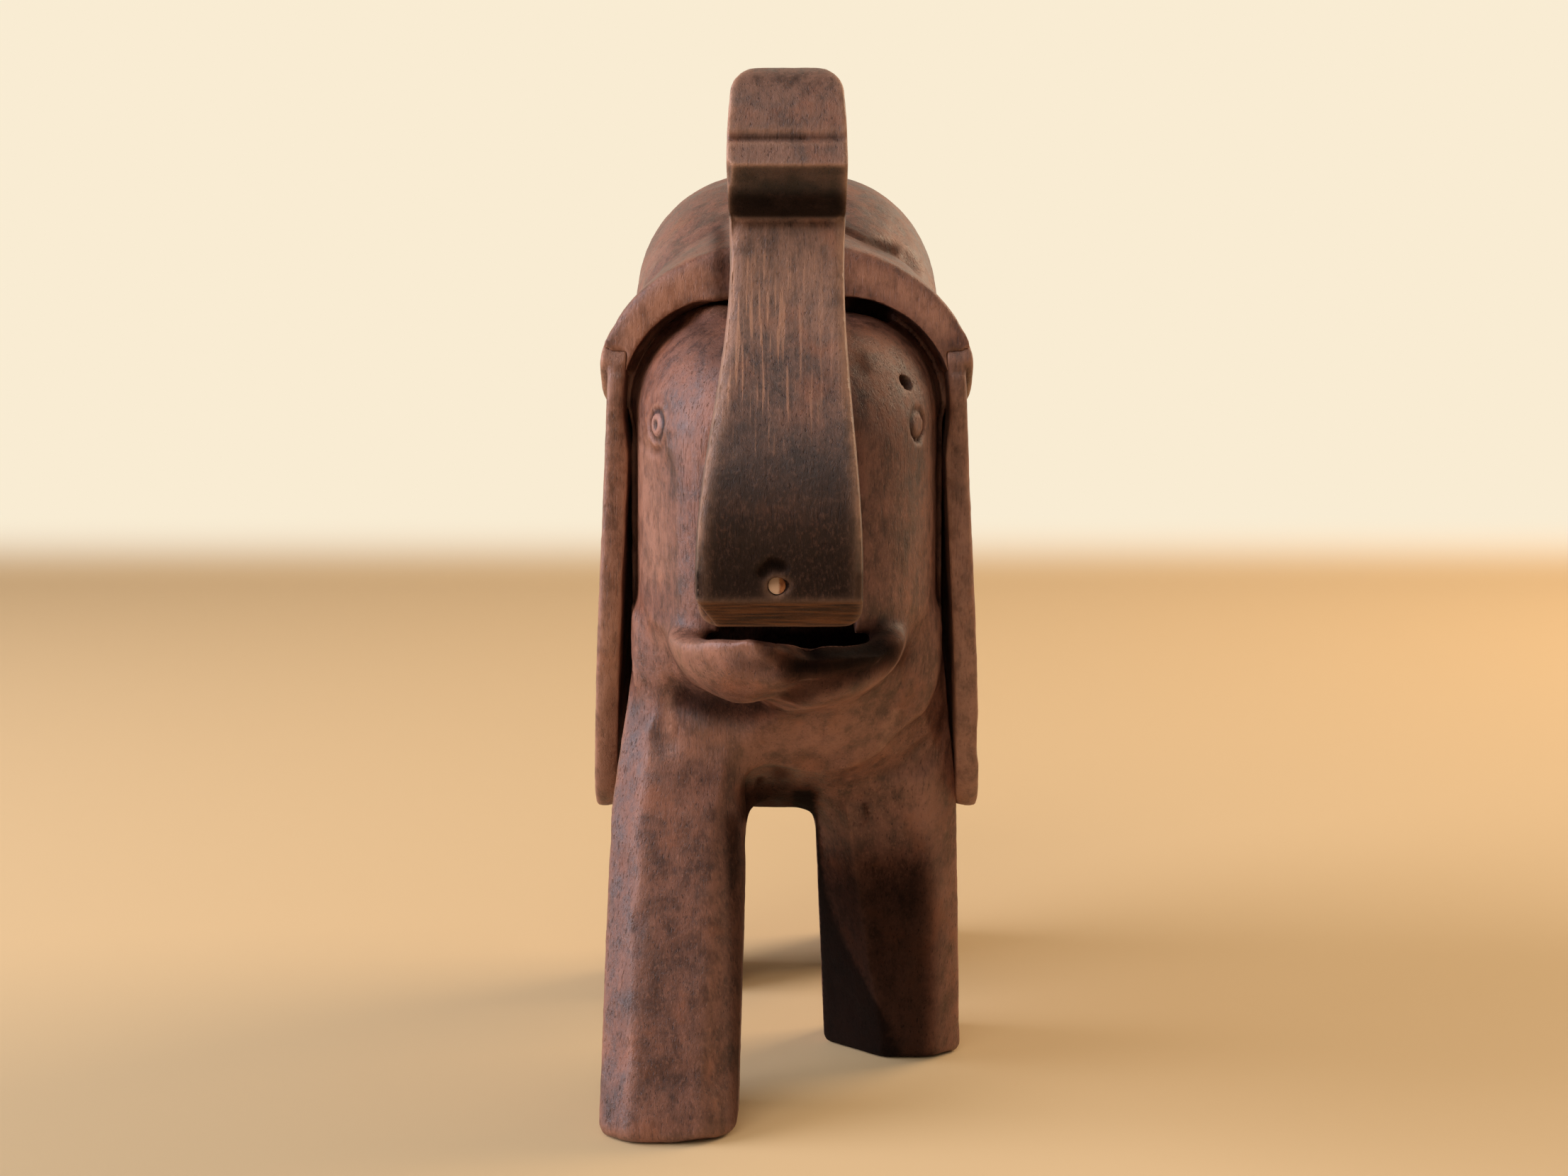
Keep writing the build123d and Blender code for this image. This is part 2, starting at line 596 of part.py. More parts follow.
def trunk_lever():
    """Trunk in front of the face, with a narrower tongue behind it that turns in the slot."""
    trunk = extrude(trunk_side(), CLEAR, both=True) & extrude(trunk_front(), 2 * CLEAR, both=True)
    tongue_room = Pos(0, STOP_Y + CLEAR, PIVOT_HEIGHT) * Box(2 * CLEAR, 2 * CLEAR, 4 * CLEAR)
    tongue = Pos(0, STOP_Y + CLEAR, PIVOT_HEIGHT) * Box(TONGUE_WIDTH, 2 * CLEAR, 4 * CLEAR)
    lever = trunk - (tongue_room - tongue)
    lever -= pin_hole(PIN_DIAMETER / 2 + PIN_RUNNING_CLEARANCE)
    lever -= plug_bore(PLUG_DIAMETER / 2 + PLUG_CLEARANCE, PLUG_FRONT_Y - CLEAR, PLUG_LENGTH + CLEAR)
    return lever


def main():
    os.makedirs("parts", exist_ok=True)
    ear = left_ear()
    pegs = Compound(ear_pegs(PEG_DIAMETER / 2))
    nodes = {
        "carved_body": carved_body(),
        "trunk_lever": trunk_lever(),
        "trunk_plug": trunk_plug(),
        "pivot_pin": pivot_pin(),
        "left_ear": ear,
        "right_ear": mirror(ear, Plane.YZ),
        "left_ear_pegs": pegs,
        "right_ear_pegs": mirror(pegs, Plane.YZ),
        "tail": tail(),
    }
    for name, shape in nodes.items():
        export_step(shape, f"parts/{name}.step")


main()
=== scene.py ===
# %% [markdown]
# # A carved elephant nutcracker
# The real object is a small elephant cut from dark stained wood. Its raised trunk is a lever:
# lift it and the mouth opens, press it down and a nut breaks in the hollow of the lower jaw.
# The CAD model already has every piece at its true size. This lesson keeps those shapes and
# does what a carver does next: knife facets, gouge lines, worn edges, stain and wax.

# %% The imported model
import bpy
import numpy as np
from math import cos, pi, radians, sin
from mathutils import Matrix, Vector


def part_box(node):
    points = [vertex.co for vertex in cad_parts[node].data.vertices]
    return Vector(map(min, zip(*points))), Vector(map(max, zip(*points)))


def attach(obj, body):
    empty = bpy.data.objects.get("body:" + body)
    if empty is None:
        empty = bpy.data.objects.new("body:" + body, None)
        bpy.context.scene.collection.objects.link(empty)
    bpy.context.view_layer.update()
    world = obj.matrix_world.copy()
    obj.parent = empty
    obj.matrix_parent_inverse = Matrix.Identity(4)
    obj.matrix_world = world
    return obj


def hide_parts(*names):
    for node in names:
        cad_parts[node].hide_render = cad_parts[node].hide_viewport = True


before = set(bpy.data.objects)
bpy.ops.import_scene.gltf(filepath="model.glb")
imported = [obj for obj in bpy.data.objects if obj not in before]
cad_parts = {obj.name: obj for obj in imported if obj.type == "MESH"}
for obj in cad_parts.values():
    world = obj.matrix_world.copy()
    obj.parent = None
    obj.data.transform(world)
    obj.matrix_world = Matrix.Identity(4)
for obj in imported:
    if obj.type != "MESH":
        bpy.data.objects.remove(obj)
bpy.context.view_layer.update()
print("CAD nodes:", sorted(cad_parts))

# %% [markdown]
# ## The camera
# The photograph was taken from in front of the elephant, level with the middle of the trunk and
# tipped a little down, from about 37 cm. A camera that near makes the trunk look large and the
# back look small, so distance and focal length are both copied, not only the viewing angle.

# %% Camera
MM = 0.001
PICTURE_WIDTH = 2212
PICTURE_HEIGHT = 1659
CAMERA_PLACE = (-0.4 * MM, -372.7 * MM, 114.0 * MM)
CAMERA_PITCH = 83.92
FOCAL_LENGTH = 53.43
SENSOR_WIDTH = 36.0
NEAREST_SEEN = 0.01
PICTURE_REACH = FOCAL_LENGTH / SENSOR_WIDTH * PICTURE_WIDTH

bpy.ops.object.select_all(action="DESELECT")
bpy.ops.object.camera_add(location=CAMERA_PLACE, rotation=(radians(CAMERA_PITCH), 0, 0))
camera = bpy.context.object
camera.name = "Camera"
camera.data.lens = FOCAL_LENGTH
camera.data.sensor_width = SENSOR_WIDTH
camera.data.clip_start = NEAREST_SEEN
bpy.context.scene.camera = camera
print("camera at", [round(v, 4) for v in camera.location])

# %% [markdown]
# ## Helpers for materials
# Every finish here is a small graph of shader nodes. A few helpers keep the graphs readable:
# one adds a node and fills its sockets, one turns a colour as a picture editor shows it, 0 to 255,
# into the linear numbers that shaders work with, and the others are single steps of a graph.

# %% Node helpers
def colour(red, green, blue):
    """Linear colour with full alpha from 0 to 255 values."""
    shares = np.array([red, green, blue]) / 255
    linear = np.where(shares > 0.04045, ((shares + 0.055) / 1.055) ** 2.4, shares / 12.92)
    return (*[float(v) for v in linear], 1.0)


def add_node(material, kind, inputs=None, **settings):
    """A new node; a socket given as a value is linked, anything else is set on the socket."""
    node = material.node_tree.nodes.new(kind)
    for name, value in settings.items():
        setattr(node, name, value)
    for socket, value in (inputs or {}).items():
        if isinstance(value, bpy.types.NodeSocket):
            material.node_tree.links.new(value, node.inputs[socket])
        else:
            node.inputs[socket].default_value = value
    return node


def new_material(name):
    """A new principled material and its shader node."""
    material = bpy.data.materials.new(name)
    material.use_nodes = True
    return material, material.node_tree.nodes["Principled BSDF"]


def ramp(material, value, low, high, to_low=0.0, to_high=1.0):
    """The value's part between low and high, spread smoothly from to_low to to_high."""
    sockets = {"Value": value, "From Min": low, "From Max": high, "To Min": to_low, "To Max": to_high}
    node = add_node(material, "ShaderNodeMapRange", sockets, interpolation_type="SMOOTHSTEP")
    return node.outputs["Result"]


def calculate(material, operation, first, second):
    """One step of arithmetic on two values or sockets."""
    return add_node(material, "ShaderNodeMath", {0: first, 1: second}, operation=operation).outputs["Value"]


def times(material, first, second):
    return calculate(material, "MULTIPLY", first, second)


def plus(material, first, second):
    return calculate(material, "ADD", first, second)


def mix(material, share, first, second):
    """Colour that goes from first to second with share."""
    return add_node(material, "ShaderNodeMix", {0: share, 6: first, 7: second}, data_type="RGBA").outputs[2]


# %% [markdown]
# ## Floor, backdrop and light
# The elephant stands on a pale warm table in front of a cream wall. One sheet does for both,
# as in a photo studio: a plane whose back edge is pulled up, with the fold rounded so that no
# line shows behind the object. The wall shows its own colour to the camera without lighting the
# elephant, and the table throws back a more neutral light than it shows. The light is soft: a
# cool window on the left, a weaker warm panel on the right and another over the camera, with the
# room filling in the rest.

# %% Floor and backdrop
FLOOR_HALF = 1.4
FOLD_Y = 1.0
WALL_HEIGHT = 1.6
FOLD_RADIUS = 0.3
FOLD_SEGMENTS = 24
WALL_FULL_HEIGHT = 0.025
PAPER_ROUGHNESS = 0.9

bpy.ops.object.select_all(action="DESELECT")
bpy.ops.mesh.primitive_plane_add(size=2 * FLOOR_HALF, location=(0, FOLD_Y - FLOOR_HALF, 0))
backdrop = bpy.context.object
backdrop.name = "backdrop"
bpy.ops.object.transform_apply(location=True, rotation=True, scale=True)
for part in (backdrop.data.vertices, backdrop.data.edges, backdrop.data.polygons):
    part.foreach_set("select", [False] * len(part))
for edge in backdrop.data.edges:
    edge.select = min(backdrop.data.vertices[index].co.y for index in edge.vertices) > FOLD_Y - MM
bpy.ops.object.mode_set(mode="EDIT")
bpy.ops.mesh.select_mode(type="EDGE")
bpy.ops.mesh.extrude_region_move(TRANSFORM_OT_translate={"value": (0, 0, WALL_HEIGHT)})
bpy.ops.object.mode_set(mode="OBJECT")
fold = backdrop.modifiers.new("fold", "BEVEL")
fold.width = FOLD_RADIUS
fold.segments = FOLD_SEGMENTS
fold.limit_method = "ANGLE"
bpy.ops.object.modifier_apply(modifier=fold.name)
bpy.ops.object.shade_smooth()

paper, paper_shader = new_material("cream_paper")
paper_place = add_node(paper, "ShaderNodeTexCoord").outputs["Object"]
paper_height = add_node(paper, "ShaderNodeSeparateXYZ", {"Vector": paper_place}).outputs["Z"]
on_wall = ramp(paper, paper_height, 0.0, WALL_FULL_HEIGHT)
table_tone = colour(216, 188, 142)
wall_tone = colour(249, 236, 211)
bounce_tone = colour(205, 190, 168)
rays = add_node(paper, "ShaderNodeLightPath").outputs
paper_tone = mix(paper, on_wall, table_tone, wall_tone)
paper_tone = mix(paper, rays["Is Diffuse Ray"], paper_tone, bounce_tone)
paper.node_tree.links.new(paper_tone, paper_shader.inputs["Base Color"])
paper_shader.inputs["Roughness"].default_value = PAPER_ROUGHNESS
seen = plus(paper, plus(paper, rays["Is Camera Ray"], rays["Is Glossy Ray"]), rays["Is Transmission Ray"])
glow = add_node(paper, "ShaderNodeEmission", {"Color": wall_tone, "Strength": 1.0})
sheet = add_node(
    paper, "ShaderNodeMixShader",
    {0: times(paper, on_wall, seen), 1: paper_shader.outputs["BSDF"], 2: glow.outputs["Emission"]},
)
paper.node_tree.links.new(sheet.outputs["Shader"], paper.node_tree.nodes["Material Output"].inputs["Surface"])
backdrop.data.materials.append(paper)
print("backdrop:", len(backdrop.data.polygons), "faces")

# %% Lights
# Place, width and height in metres, watts and tint of each panel. All of them face the elephant.
LIGHTS = {
    "window_left": ((-0.85, -0.15, 0.42), (0.7, 0.9), 11.5, (0.86, 0.86, 1.0)),
    "panel_right": ((0.80, 0.45, 0.62), (0.6, 0.6), 8.5, (1.0, 0.74, 0.50)),
    "panel_front": ((-0.25, -1.0, 0.95), (0.8, 0.6), 4.6, (1.0, 0.92, 0.84)),
}
LIGHT_AIM = Vector((0, 0, 0.09))
ROOM_TINT = (1.0, 0.95, 0.88, 1.0)
ROOM_STRENGTH = 0.24

for name, (place, size, power, tint) in LIGHTS.items():
    bpy.ops.object.light_add(type="AREA", location=place)
    lamp = bpy.context.object
    lamp.name = name
    lamp.rotation_euler = (LIGHT_AIM - Vector(place)).to_track_quat("-Z", "Y").to_euler()
    lamp.data.shape = "RECTANGLE"
    lamp.data.size = size[0]
    lamp.data.size_y = size[1]
    lamp.data.energy = power
    lamp.data.color = tint

room = bpy.data.worlds.new("room")
bpy.context.scene.world = room
room.use_nodes = True
room_light = room.node_tree.nodes["Background"]
room_light.inputs["Color"].default_value = ROOM_TINT
room_light.inputs["Strength"].default_value = ROOM_STRENGTH
room_view = add_node(room, "ShaderNodeBackground", {"Color": wall_tone, "Strength": 1.0})
room_rays = add_node(room, "ShaderNodeLightPath").outputs
room_mix = add_node(
    room, "ShaderNodeMixShader",
    {0: room_rays["Is Camera Ray"], 1: room_light.outputs["Background"], 2: room_view.outputs["Background"]},
)
room.node_tree.links.new(room_mix.outputs["Shader"], room.node_tree.nodes["World Output"].inputs["Surface"])
bpy.context.scene.view_settings.view_transform = "Standard"
print("lights:", sorted(LIGHTS))

# %% [markdown]
# ## Copying a CAD node
# A CAD node is a set of loose triangles: fine for looking at, useless for carving. A copy gets
# its doubles merged, and a voxel remesh then lays an even skin of small squares over it, as a
# sculptor does before starting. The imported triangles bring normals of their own, which a remesh
# would carry over to the wrong places, so those are cleared first. The original node stays
# untouched underneath.

# %% Copy and remesh
JOIN_REACH = 0.005 * MM


def select_only(piece):
    bpy.ops.object.select_all(action="DESELECT")
    bpy.context.view_layer.objects.active = piece
    piece.select_set(True)


def copy_node(node, name):
    """A copy of a CAD node with its triangles joined, at the same place."""
    piece = bpy.data.objects.new(name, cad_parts[node].data.copy())
    bpy.context.collection.objects.link(piece)
    piece.data.name = name
    piece.data.materials.clear()
    select_only(piece)
    bpy.ops.object.mode_set(mode="EDIT")
    bpy.ops.mesh.select_all(action="SELECT")
    bpy.ops.mesh.remove_doubles(threshold=JOIN_REACH)
    bpy.ops.object.mode_set(mode="OBJECT")
    bpy.ops.mesh.customdata_custom_splitnormals_clear()
    return piece


def remesh(piece, voxel):
    """An even skin of squares about voxel millimetres wide."""
    select_only(piece)
    piece.data.remesh_voxel_size = voxel * MM
    bpy.ops.object.voxel_remesh()
    bpy.ops.object.shade_smooth()
    print(piece.name, "has", len(piece.data.polygons), "squares")


def apply_modifier(piece, kind, **settings):
    """Adds a modifier with these settings and applies it to the mesh."""
    select_only(piece)
    modifier = piece.modifiers.new(kind.lower(), kind)
    for name, value in settings.items():
        setattr(modifier, name, value)
    bpy.ops.object.modifier_apply(modifier=modifier.name)


# %% [markdown]
# ## Carving tools
# A carver uses a few cuts over and over. A gouge runs along a line and sinks a groove. A knife
# takes a flat slice off whatever stands proud of a plane. Sandpaper rubs a place smooth. They are
# written here as moves of the mesh's points, with all lengths in millimetres.

# %% Reading and writing points
def read_points(piece):
    points = np.empty(len(piece.data.vertices) * 3, np.float32)
    piece.data.vertices.foreach_get("co", points)
    return points.reshape(-1, 3) / MM


def read_normals(piece):
    normals = np.empty(len(piece.data.vertices) * 3, np.float32)
    piece.data.vertex_normals.foreach_get("vector", normals)
    return normals.reshape(-1, 3)


def write_points(piece, points):
    piece.data.vertices.foreach_set("co", (points * MM).astype(np.float32).ravel())
    piece.data.update()


def soft_step(value):
    """0 below 0, 1 above 1 and a soft rise between them."""
    value = np.clip(value, 0, 1)
    return value * value * (3 - 2 * value)


def distance_to_path(points, path):
    """Distance of each point from a line through the path's corners; a path may be one point."""
    path = np.array(path, np.float32)
    nearest = np.sqrt(((points - path[0]) ** 2).sum(1))
    for start, end in zip(path[:-1], path[1:]):
        run = end - start
        along = np.clip((points - start) @ run / (run @ run), 0, 1)
        gap = points - start - along[:, None] * run
        nearest = np.minimum(nearest, np.sqrt((gap * gap).sum(1)))
    return nearest


def rubbed_points(piece, rounds):
    """Where the points would lie if the whole surface were rubbed smooth."""
    ghost = bpy.data.objects.new("ghost", piece.data.copy())
    bpy.context.collection.objects.link(ghost)
    apply_modifier(ghost, "SMOOTH", factor=0.5, iterations=rounds)
    points = read_points(ghost)
    mesh = ghost.data
    bpy.data.objects.remove(ghost)
    bpy.data.meshes.remove(mesh)
    return points


# %% Gouge, knife, sandpaper and filler
KNIFE_FADE = 0.35
SMALL_CUT_FADE = 0.6


def gouge(piece, path, radius, depth, sharp=False):
    """A groove along the path; a negative depth raises a welt instead."""
    points = read_points(piece)
    share = np.clip(1 - distance_to_path(points, path) / radius, 0, 1)
    if not sharp:
        share = soft_step(share)
    write_points(piece, points - read_normals(piece) * (depth * share)[:, None])


def push(piece, path, radius, move):
    """Moves the wood near the path by the vector move, less and less towards the radius."""
    points = read_points(piece)
    share = soft_step(1 - distance_to_path(points, path) / radius)
    write_points(piece, points + share[:, None] * np.array(move, np.float32))


def slice_off(points, place, facing, centre, reach, fade):
    """Presses the points within reach of centre down to the plane through place, square to facing."""
    facing = np.array(facing, np.float32)
    facing = facing / np.sqrt(facing @ facing)
    near = np.where(np.abs(points - centre).max(1) < reach)[0]
    gap = points[near] - centre
    share = soft_step((1 - np.sqrt((gap * gap).sum(1)) / reach) / fade)
    proud = np.clip((points[near] - place) @ facing, 0, None)
    points[near] -= facing * (proud * share)[:, None]


def knife(piece, place, facing, reach, fade=KNIFE_FADE):
    """One flat cut of the knife through place."""
    points = read_points(piece)
    slice_off(points, np.array(place), facing, np.array(place), reach, fade)
    write_points(piece, points)


def knife_all_over(piece, cuts, reach, depth, tilt, seed, where=None):
    """Small flat cuts at random places, as left by a knife; where says which points it may start from."""
    draw = np.random.default_rng(seed)
    points = read_points(piece)
    normals = read_normals(piece)
    allowed = np.arange(len(points)) if where is None else np.where(where(points))[0]
    for index in draw.choice(allowed, cuts):
        size = reach * draw.uniform(0.6, 1.3)
        facing = normals[index] + draw.normal(0, tilt, 3)
        place = points[index] - normals[index] * depth * draw.uniform(0.4, 1.2)
        slice_off(points, place, facing, points[index].copy(), size, SMALL_CUT_FADE)
    write_points(piece, points)


def sand(piece, path, radius, rounds):
    """Rubs the wood near the path smooth."""
    points = read_points(piece)
    share = soft_step(2 * (1 - distance_to_path(points, path) / radius))
    write_points(piece, points + share[:, None] * (rubbed_points(piece, rounds) - points))


def roughen(piece, size, depth):
    """Uneven surface in patches about size millimetres wide, as on any wood that was cut by hand."""
    grain = bpy.data.textures.new("grain", "CLOUDS")
    grain.noise_scale = size * MM
    grain.noise_depth = 3
    apply_modifier(
        piece, "DISPLACE", texture=grain, texture_coords="LOCAL", strength=depth * MM, mid_level=0.5
    )
    bpy.data.textures.remove(grain)


def fill_creases(piece, rounds, where):
    """Fills inner corners with a soft cove, as a gouge leaves them; where gives a share per point."""
    points = read_points(piece)
    normals = read_normals(piece)
    sunk = np.clip(((rubbed_points(piece, rounds) - points) * normals).sum(1), 0, None)
    write_points(piece, points + normals * (sunk * where(points))[:, None])


# %% [markdown]
# Many marks are easiest to place where the picture shows them. One helper finds the point of a
# piece that lies behind a place in the picture, the other says where each point appears in it.
# Places are counted in pixels of the photograph, across from the left and down from the top.

# %% Places in the picture
def seen_path(piece, places):
    """The points of a piece that the camera sees at these places in the picture."""
    bpy.context.view_layer.update()
    path = []
    for across, down in places:
        ray = Vector((across - PICTURE_WIDTH / 2, PICTURE_HEIGHT / 2 - down, -PICTURE_REACH))
        ray.rotate(camera.rotation_euler)
        hit, place, _, _ = piece.ray_cast(camera.location, ray.normalized())
        if hit:
            path.append([v / MM for v in place])
    return path


def in_picture(points):
    """Where the points appear in the picture, one row of two numbers for each."""
    tilt = radians(90 - CAMERA_PITCH)
    gap = points - np.array(CAMERA_PLACE, np.float32) / MM
    depth = gap[:, 1] * cos(tilt) - gap[:, 2] * sin(tilt)
    rise = gap[:, 1] * sin(tilt) + gap[:, 2] * cos(tilt)
    across = PICTURE_WIDTH / 2 + PICTURE_REACH * gap[:, 0] / depth
    down = PICTURE_HEIGHT / 2 - PICTURE_REACH * rise / depth
    return np.stack([across, down], 1)


# %% [markdown]
# ## Marking wear and grime
# Old wood is lightest where hands rub it, on every edge, and darkest in the hollows that a
# cloth never reaches. To know which is which, the surface is compared with a smoothed version
# of itself: points that stand above it are edges, points below it are hollows. Both go into
# attributes of the mesh, where the material reads them.

# %% Wear and grime
# The most triangles that pieces of each kind may have
LARGE_PIECE = 190000
EAR_PIECE = 100000
TAIL_PIECE = 40000
SMALL_PIECE = 20000


def mark_wear(piece, rounds, reach):
    """Attributes wear and grime, each 0 to 1; reach is the height that counts as full."""
    proud = ((read_points(piece) - rubbed_points(piece, rounds)) * read_normals(piece)).sum(1)
    for name, values in (("wear_and_light", proud), ("grime", -proud)):
        attribute = piece.data.attributes.new(name, "FLOAT", "POINT")
        attribute.data.foreach_set("value", np.clip(values / reach, 0, 1).astype(np.float32))


def paint(piece, share, name="stain_and_shade"):
    """Raises an attribute to a share of 0 to 1 for every point: stain_and_shade darkens, for stains of the
    wood and for painted shade; wear_and_light makes paler, for rubbing and for painted light.
    """
    share = np.clip(share, 0, 1).astype(np.float32)
    layer = piece.data.attributes.get(name) or piece.data.attributes.new(name, "FLOAT", "POINT")
    before = np.empty(len(share), np.float32)
    layer.data.foreach_get("value", before)
    layer.data.foreach_set("value", np.maximum(before, share))


def count_triangles(piece):
    piece.data.calc_loop_triangles()
    return len(piece.data.loop_triangles)


def finish_piece(piece, most_triangles, material, body, slot, *nodes):
    """Thins the mesh where it is flat, gives it its material and sets it on its body."""
    triangles = count_triangles(piece)
    if triangles > most_triangles:
        apply_modifier(piece, "DECIMATE", ratio=most_triangles / triangles)
    select_only(piece)
    bpy.ops.object.shade_smooth()
    piece.data.materials.clear()
    piece.data.materials.append(material)
    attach(piece, body)
    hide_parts(*nodes)
    print(piece.name, "has", count_triangles(piece), "triangles")


# %% [markdown]
# ## Stained wood
# The wood is a dark brown hardwood, stained and rubbed. Seen close it has a fine mottle, long
# streaks along the grain, cloudy and rusty patches of stain, and short dark pores. Each is a
# noise pattern that pulls the tone towards a paler or a darker one. Worn edges show paler wood
# and hollows are almost black. Painted light makes some places paler in the same way as wear, and
# painted shade darkens others in the same way as stain. The patterns use Object coordinates in
# millimetres, so they keep their scale on every piece.

# %% Wood material
def noise(material, place, size, stretch=(1, 1, 1), detail=4.0, roughness=0.55):
    """Cloudy pattern about size millimetres wide; stretch below 1 draws it out along that axis."""
    sockets = {"Vector": place, "Scale": [share / (size * MM) for share in stretch]}
    mapped = add_node(material, "ShaderNodeMapping", sockets).outputs["Vector"]
    sockets = {"Vector": mapped, "Scale": 1.0, "Detail": detail, "Roughness": roughness}
    return add_node(material, "ShaderNodeTexNoise", sockets).outputs["Fac"]


def attribute(material, name):
    return add_node(material, "ShaderNodeAttribute", attribute_name=name).outputs["Fac"]


ALONG_Z = (1.0, 1.0, 0.07)
PORE_TONE = colour(30, 17, 12)
RUST_TONE = colour(150, 88, 56)
GRIME_AND_SHADE_TONE = colour(9, 4, 2)
PORE_STRENGTH = 0.50
WEAR_AND_LIGHT_STRENGTH = 0.80
STAIN_AND_SHADE_STRENGTH = 0.97
GRIME_STRENGTH = 0.90
RELIEF_STRENGTH = 0.5
RELIEF_DEPTH = 0.3 * MM


def stained_wood(name, dark, middle, light, worn_and_lit, streaky, repaint=None):
    """Stained wood with its grain upright; repaint may change the tone before edges and hollows."""
    material, shader = new_material(name)
    place = add_node(material, "ShaderNodeTexCoord").outputs["Object"]
    streaks = noise(material, place, 1.1, ALONG_Z, 6.0, 0.62)
    clouds = noise(material, place, 14.0, (1, 1, 0.7), 4.0, 0.55)
    mottle = noise(material, place, 2.2, (1, 1, 0.6), 6.0, 0.68)
    speckle = noise(material, place, 0.40, (1, 1, 0.5), 3.0, 0.7)
    patches = noise(material, place, 7.0, (1, 1, 0.8), 5.0, 0.6)
    pores = ramp(material, noise(material, place, 0.26, (1, 1, 0.12), 2.0), 0.60, 0.70)

    # Each layer: the pattern, where it starts and is full, its strength there and its colour
    layers = (
        (streaks, 0.50, 0.74, streaky, light),
        (streaks, 0.46, 0.28, streaky, dark),
        (clouds, 0.50, 0.70, 0.50, light),
        (clouds, 0.48, 0.30, 0.35, dark),
        (speckle, 0.50, 0.76, 0.50, light),
        (speckle, 0.46, 0.26, 0.45, dark),
        (patches, 0.52, 0.70, 0.45, RUST_TONE),
        (patches, 0.46, 0.30, 0.50, PORE_TONE),
    )
    tone = mix(material, ramp(material, mottle, 0.34, 0.62), dark, middle)
    for pattern, start, full, strength, layer_tone in layers:
        tone = mix(material, ramp(material, pattern, start, full, 0.0, strength), tone, layer_tone)
    tone = mix(material, times(material, pores, PORE_STRENGTH), tone, PORE_TONE)
    if repaint:
        tone = repaint(material, place, tone, speckle)
    wear_and_light = attribute(material, "wear_and_light")
    stain_and_shade = attribute(material, "stain_and_shade")
    grime = attribute(material, "grime")
    # The wear_and_light attribute makes the wood paler where it is worn and where light is painted
    rubbed_and_lit = times(material, wear_and_light, ramp(material, mottle, 0.30, 0.60, 0.45, 1.0))
    tone = mix(material, times(material, rubbed_and_lit, WEAR_AND_LIGHT_STRENGTH), tone, worn_and_lit)
    # The stain_and_shade attribute darkens with stains of the wood and with painted shade
    tone = mix(material, times(material, stain_and_shade, STAIN_AND_SHADE_STRENGTH), tone, GRIME_AND_SHADE_TONE)
    tone = mix(material, times(material, grime, GRIME_STRENGTH), tone, GRIME_AND_SHADE_TONE)
    material.node_tree.links.new(tone, shader.inputs["Base Color"])

    dull = calculate(material, "MAXIMUM", stain_and_shade, grime)
    gloss = ramp(material, mottle, 0.3, 0.7, 0.40, 0.58)
    gloss = plus(material, gloss, times(material, pores, 0.2))
    gloss = plus(material, gloss, times(material, dull, 0.4))
    material.node_tree.links.new(gloss, shader.inputs["Roughness"])
    shine = ramp(material, dull, 0.1, 0.7, 0.5, 0.08)
    material.node_tree.links.new(shine, shader.inputs["Specular IOR Level"])
    height = plus(material, times(material, streaks, 0.6), times(material, pores, -0.6))
    height = plus(material, height, times(material, speckle, 0.7))
    sockets = {"Height": height, "Strength": RELIEF_STRENGTH, "Distance": RELIEF_DEPTH}
    bump = add_node(material, "ShaderNodeBump", sockets)
    material.node_tree.links.new(bump.outputs["Normal"], shader.inputs["Normal"])
    return material


ear_wood = stained_wood(
    "ear_wood", colour(78, 46, 33), colour(126, 82, 63), colour(158, 110, 87), colour(188, 136, 106), 0.5
)
print("plain wood finish:", ear_wood.name)

# %% [markdown]
# ## The body
# Torso, hood, face, jaw and legs are one block of wood. The copy is remeshed finely enough to
# keep the groove round the face. Where legs, chest and jaw meet, the corners are filled to soft
# coves, because a carver's gouge leaves no sharp inner corner there. Then come the cuts that the
# photograph shows one by one: the valley behind the hood's rim, a flat cheek, the eyes and the
# uneven lip of the jaw. Last, small flat cuts go over the legs and the back, but not the head.

# %% Body finish
EYE_Y = -41.0
EYE_HEIGHT = 102.0
EYE_X = 18.8
EYE_OUTLINE_TONE = colour(52, 30, 24)
EYE_RING_TONE = colour(158, 112, 98)
PUPIL_TONE = colour(34, 18, 14)
# Side and strength of each painted eye: -1 is the elephant's right, 1 its left
PAINTED_STRENGTH = ((-1, 0.80), (1, 0.10))


def painted_eyes(material, place, tone, speckle):
    """A pale ring with a dark outline and pupil at each eye; the one on the elephant's right is clearer."""
    for side, strength in PAINTED_STRENGTH:
        centre = (side * EYE_X * MM, EYE_Y * MM, EYE_HEIGHT * MM)
        reach = add_node(material, "ShaderNodeVectorMath", {0: place, 1: centre}, operation="DISTANCE")
        reach = reach.outputs["Value"]
        outline = ramp(material, reach, 2.7 * MM, 2.1 * MM, 0.0, strength)
        ring = ramp(material, reach, 1.9 * MM, 1.5 * MM, 0.0, strength)
        pupil = ramp(material, reach, 0.95 * MM, 0.65 * MM, 0.0, strength)
        tone = mix(material, outline, tone, EYE_OUTLINE_TONE)
        tone = mix(material, ring, tone, EYE_RING_TONE)
        tone = mix(material, pupil, tone, PUPIL_TONE)
    return tone


body_wood = stained_wood(
    "body_wood", colour(72, 41, 29), colour(120, 76, 58), colour(156, 105, 82), colour(188, 133, 104), 0.3,
    painted_eyes,
)
print("wood with eyes:", body_wood.name)

# %% Body: coves
BODY_VOXEL = 0.5
COVE_ROUNDS = {"legs": 50, "mouth": 40, "chest": 120}

body = copy_node("carved_body", "carved_figure")
remesh(body, BODY_VOXEL)


def legs_and_chest(points):
    return soft_step((60 - points[:, 2]) / 4)


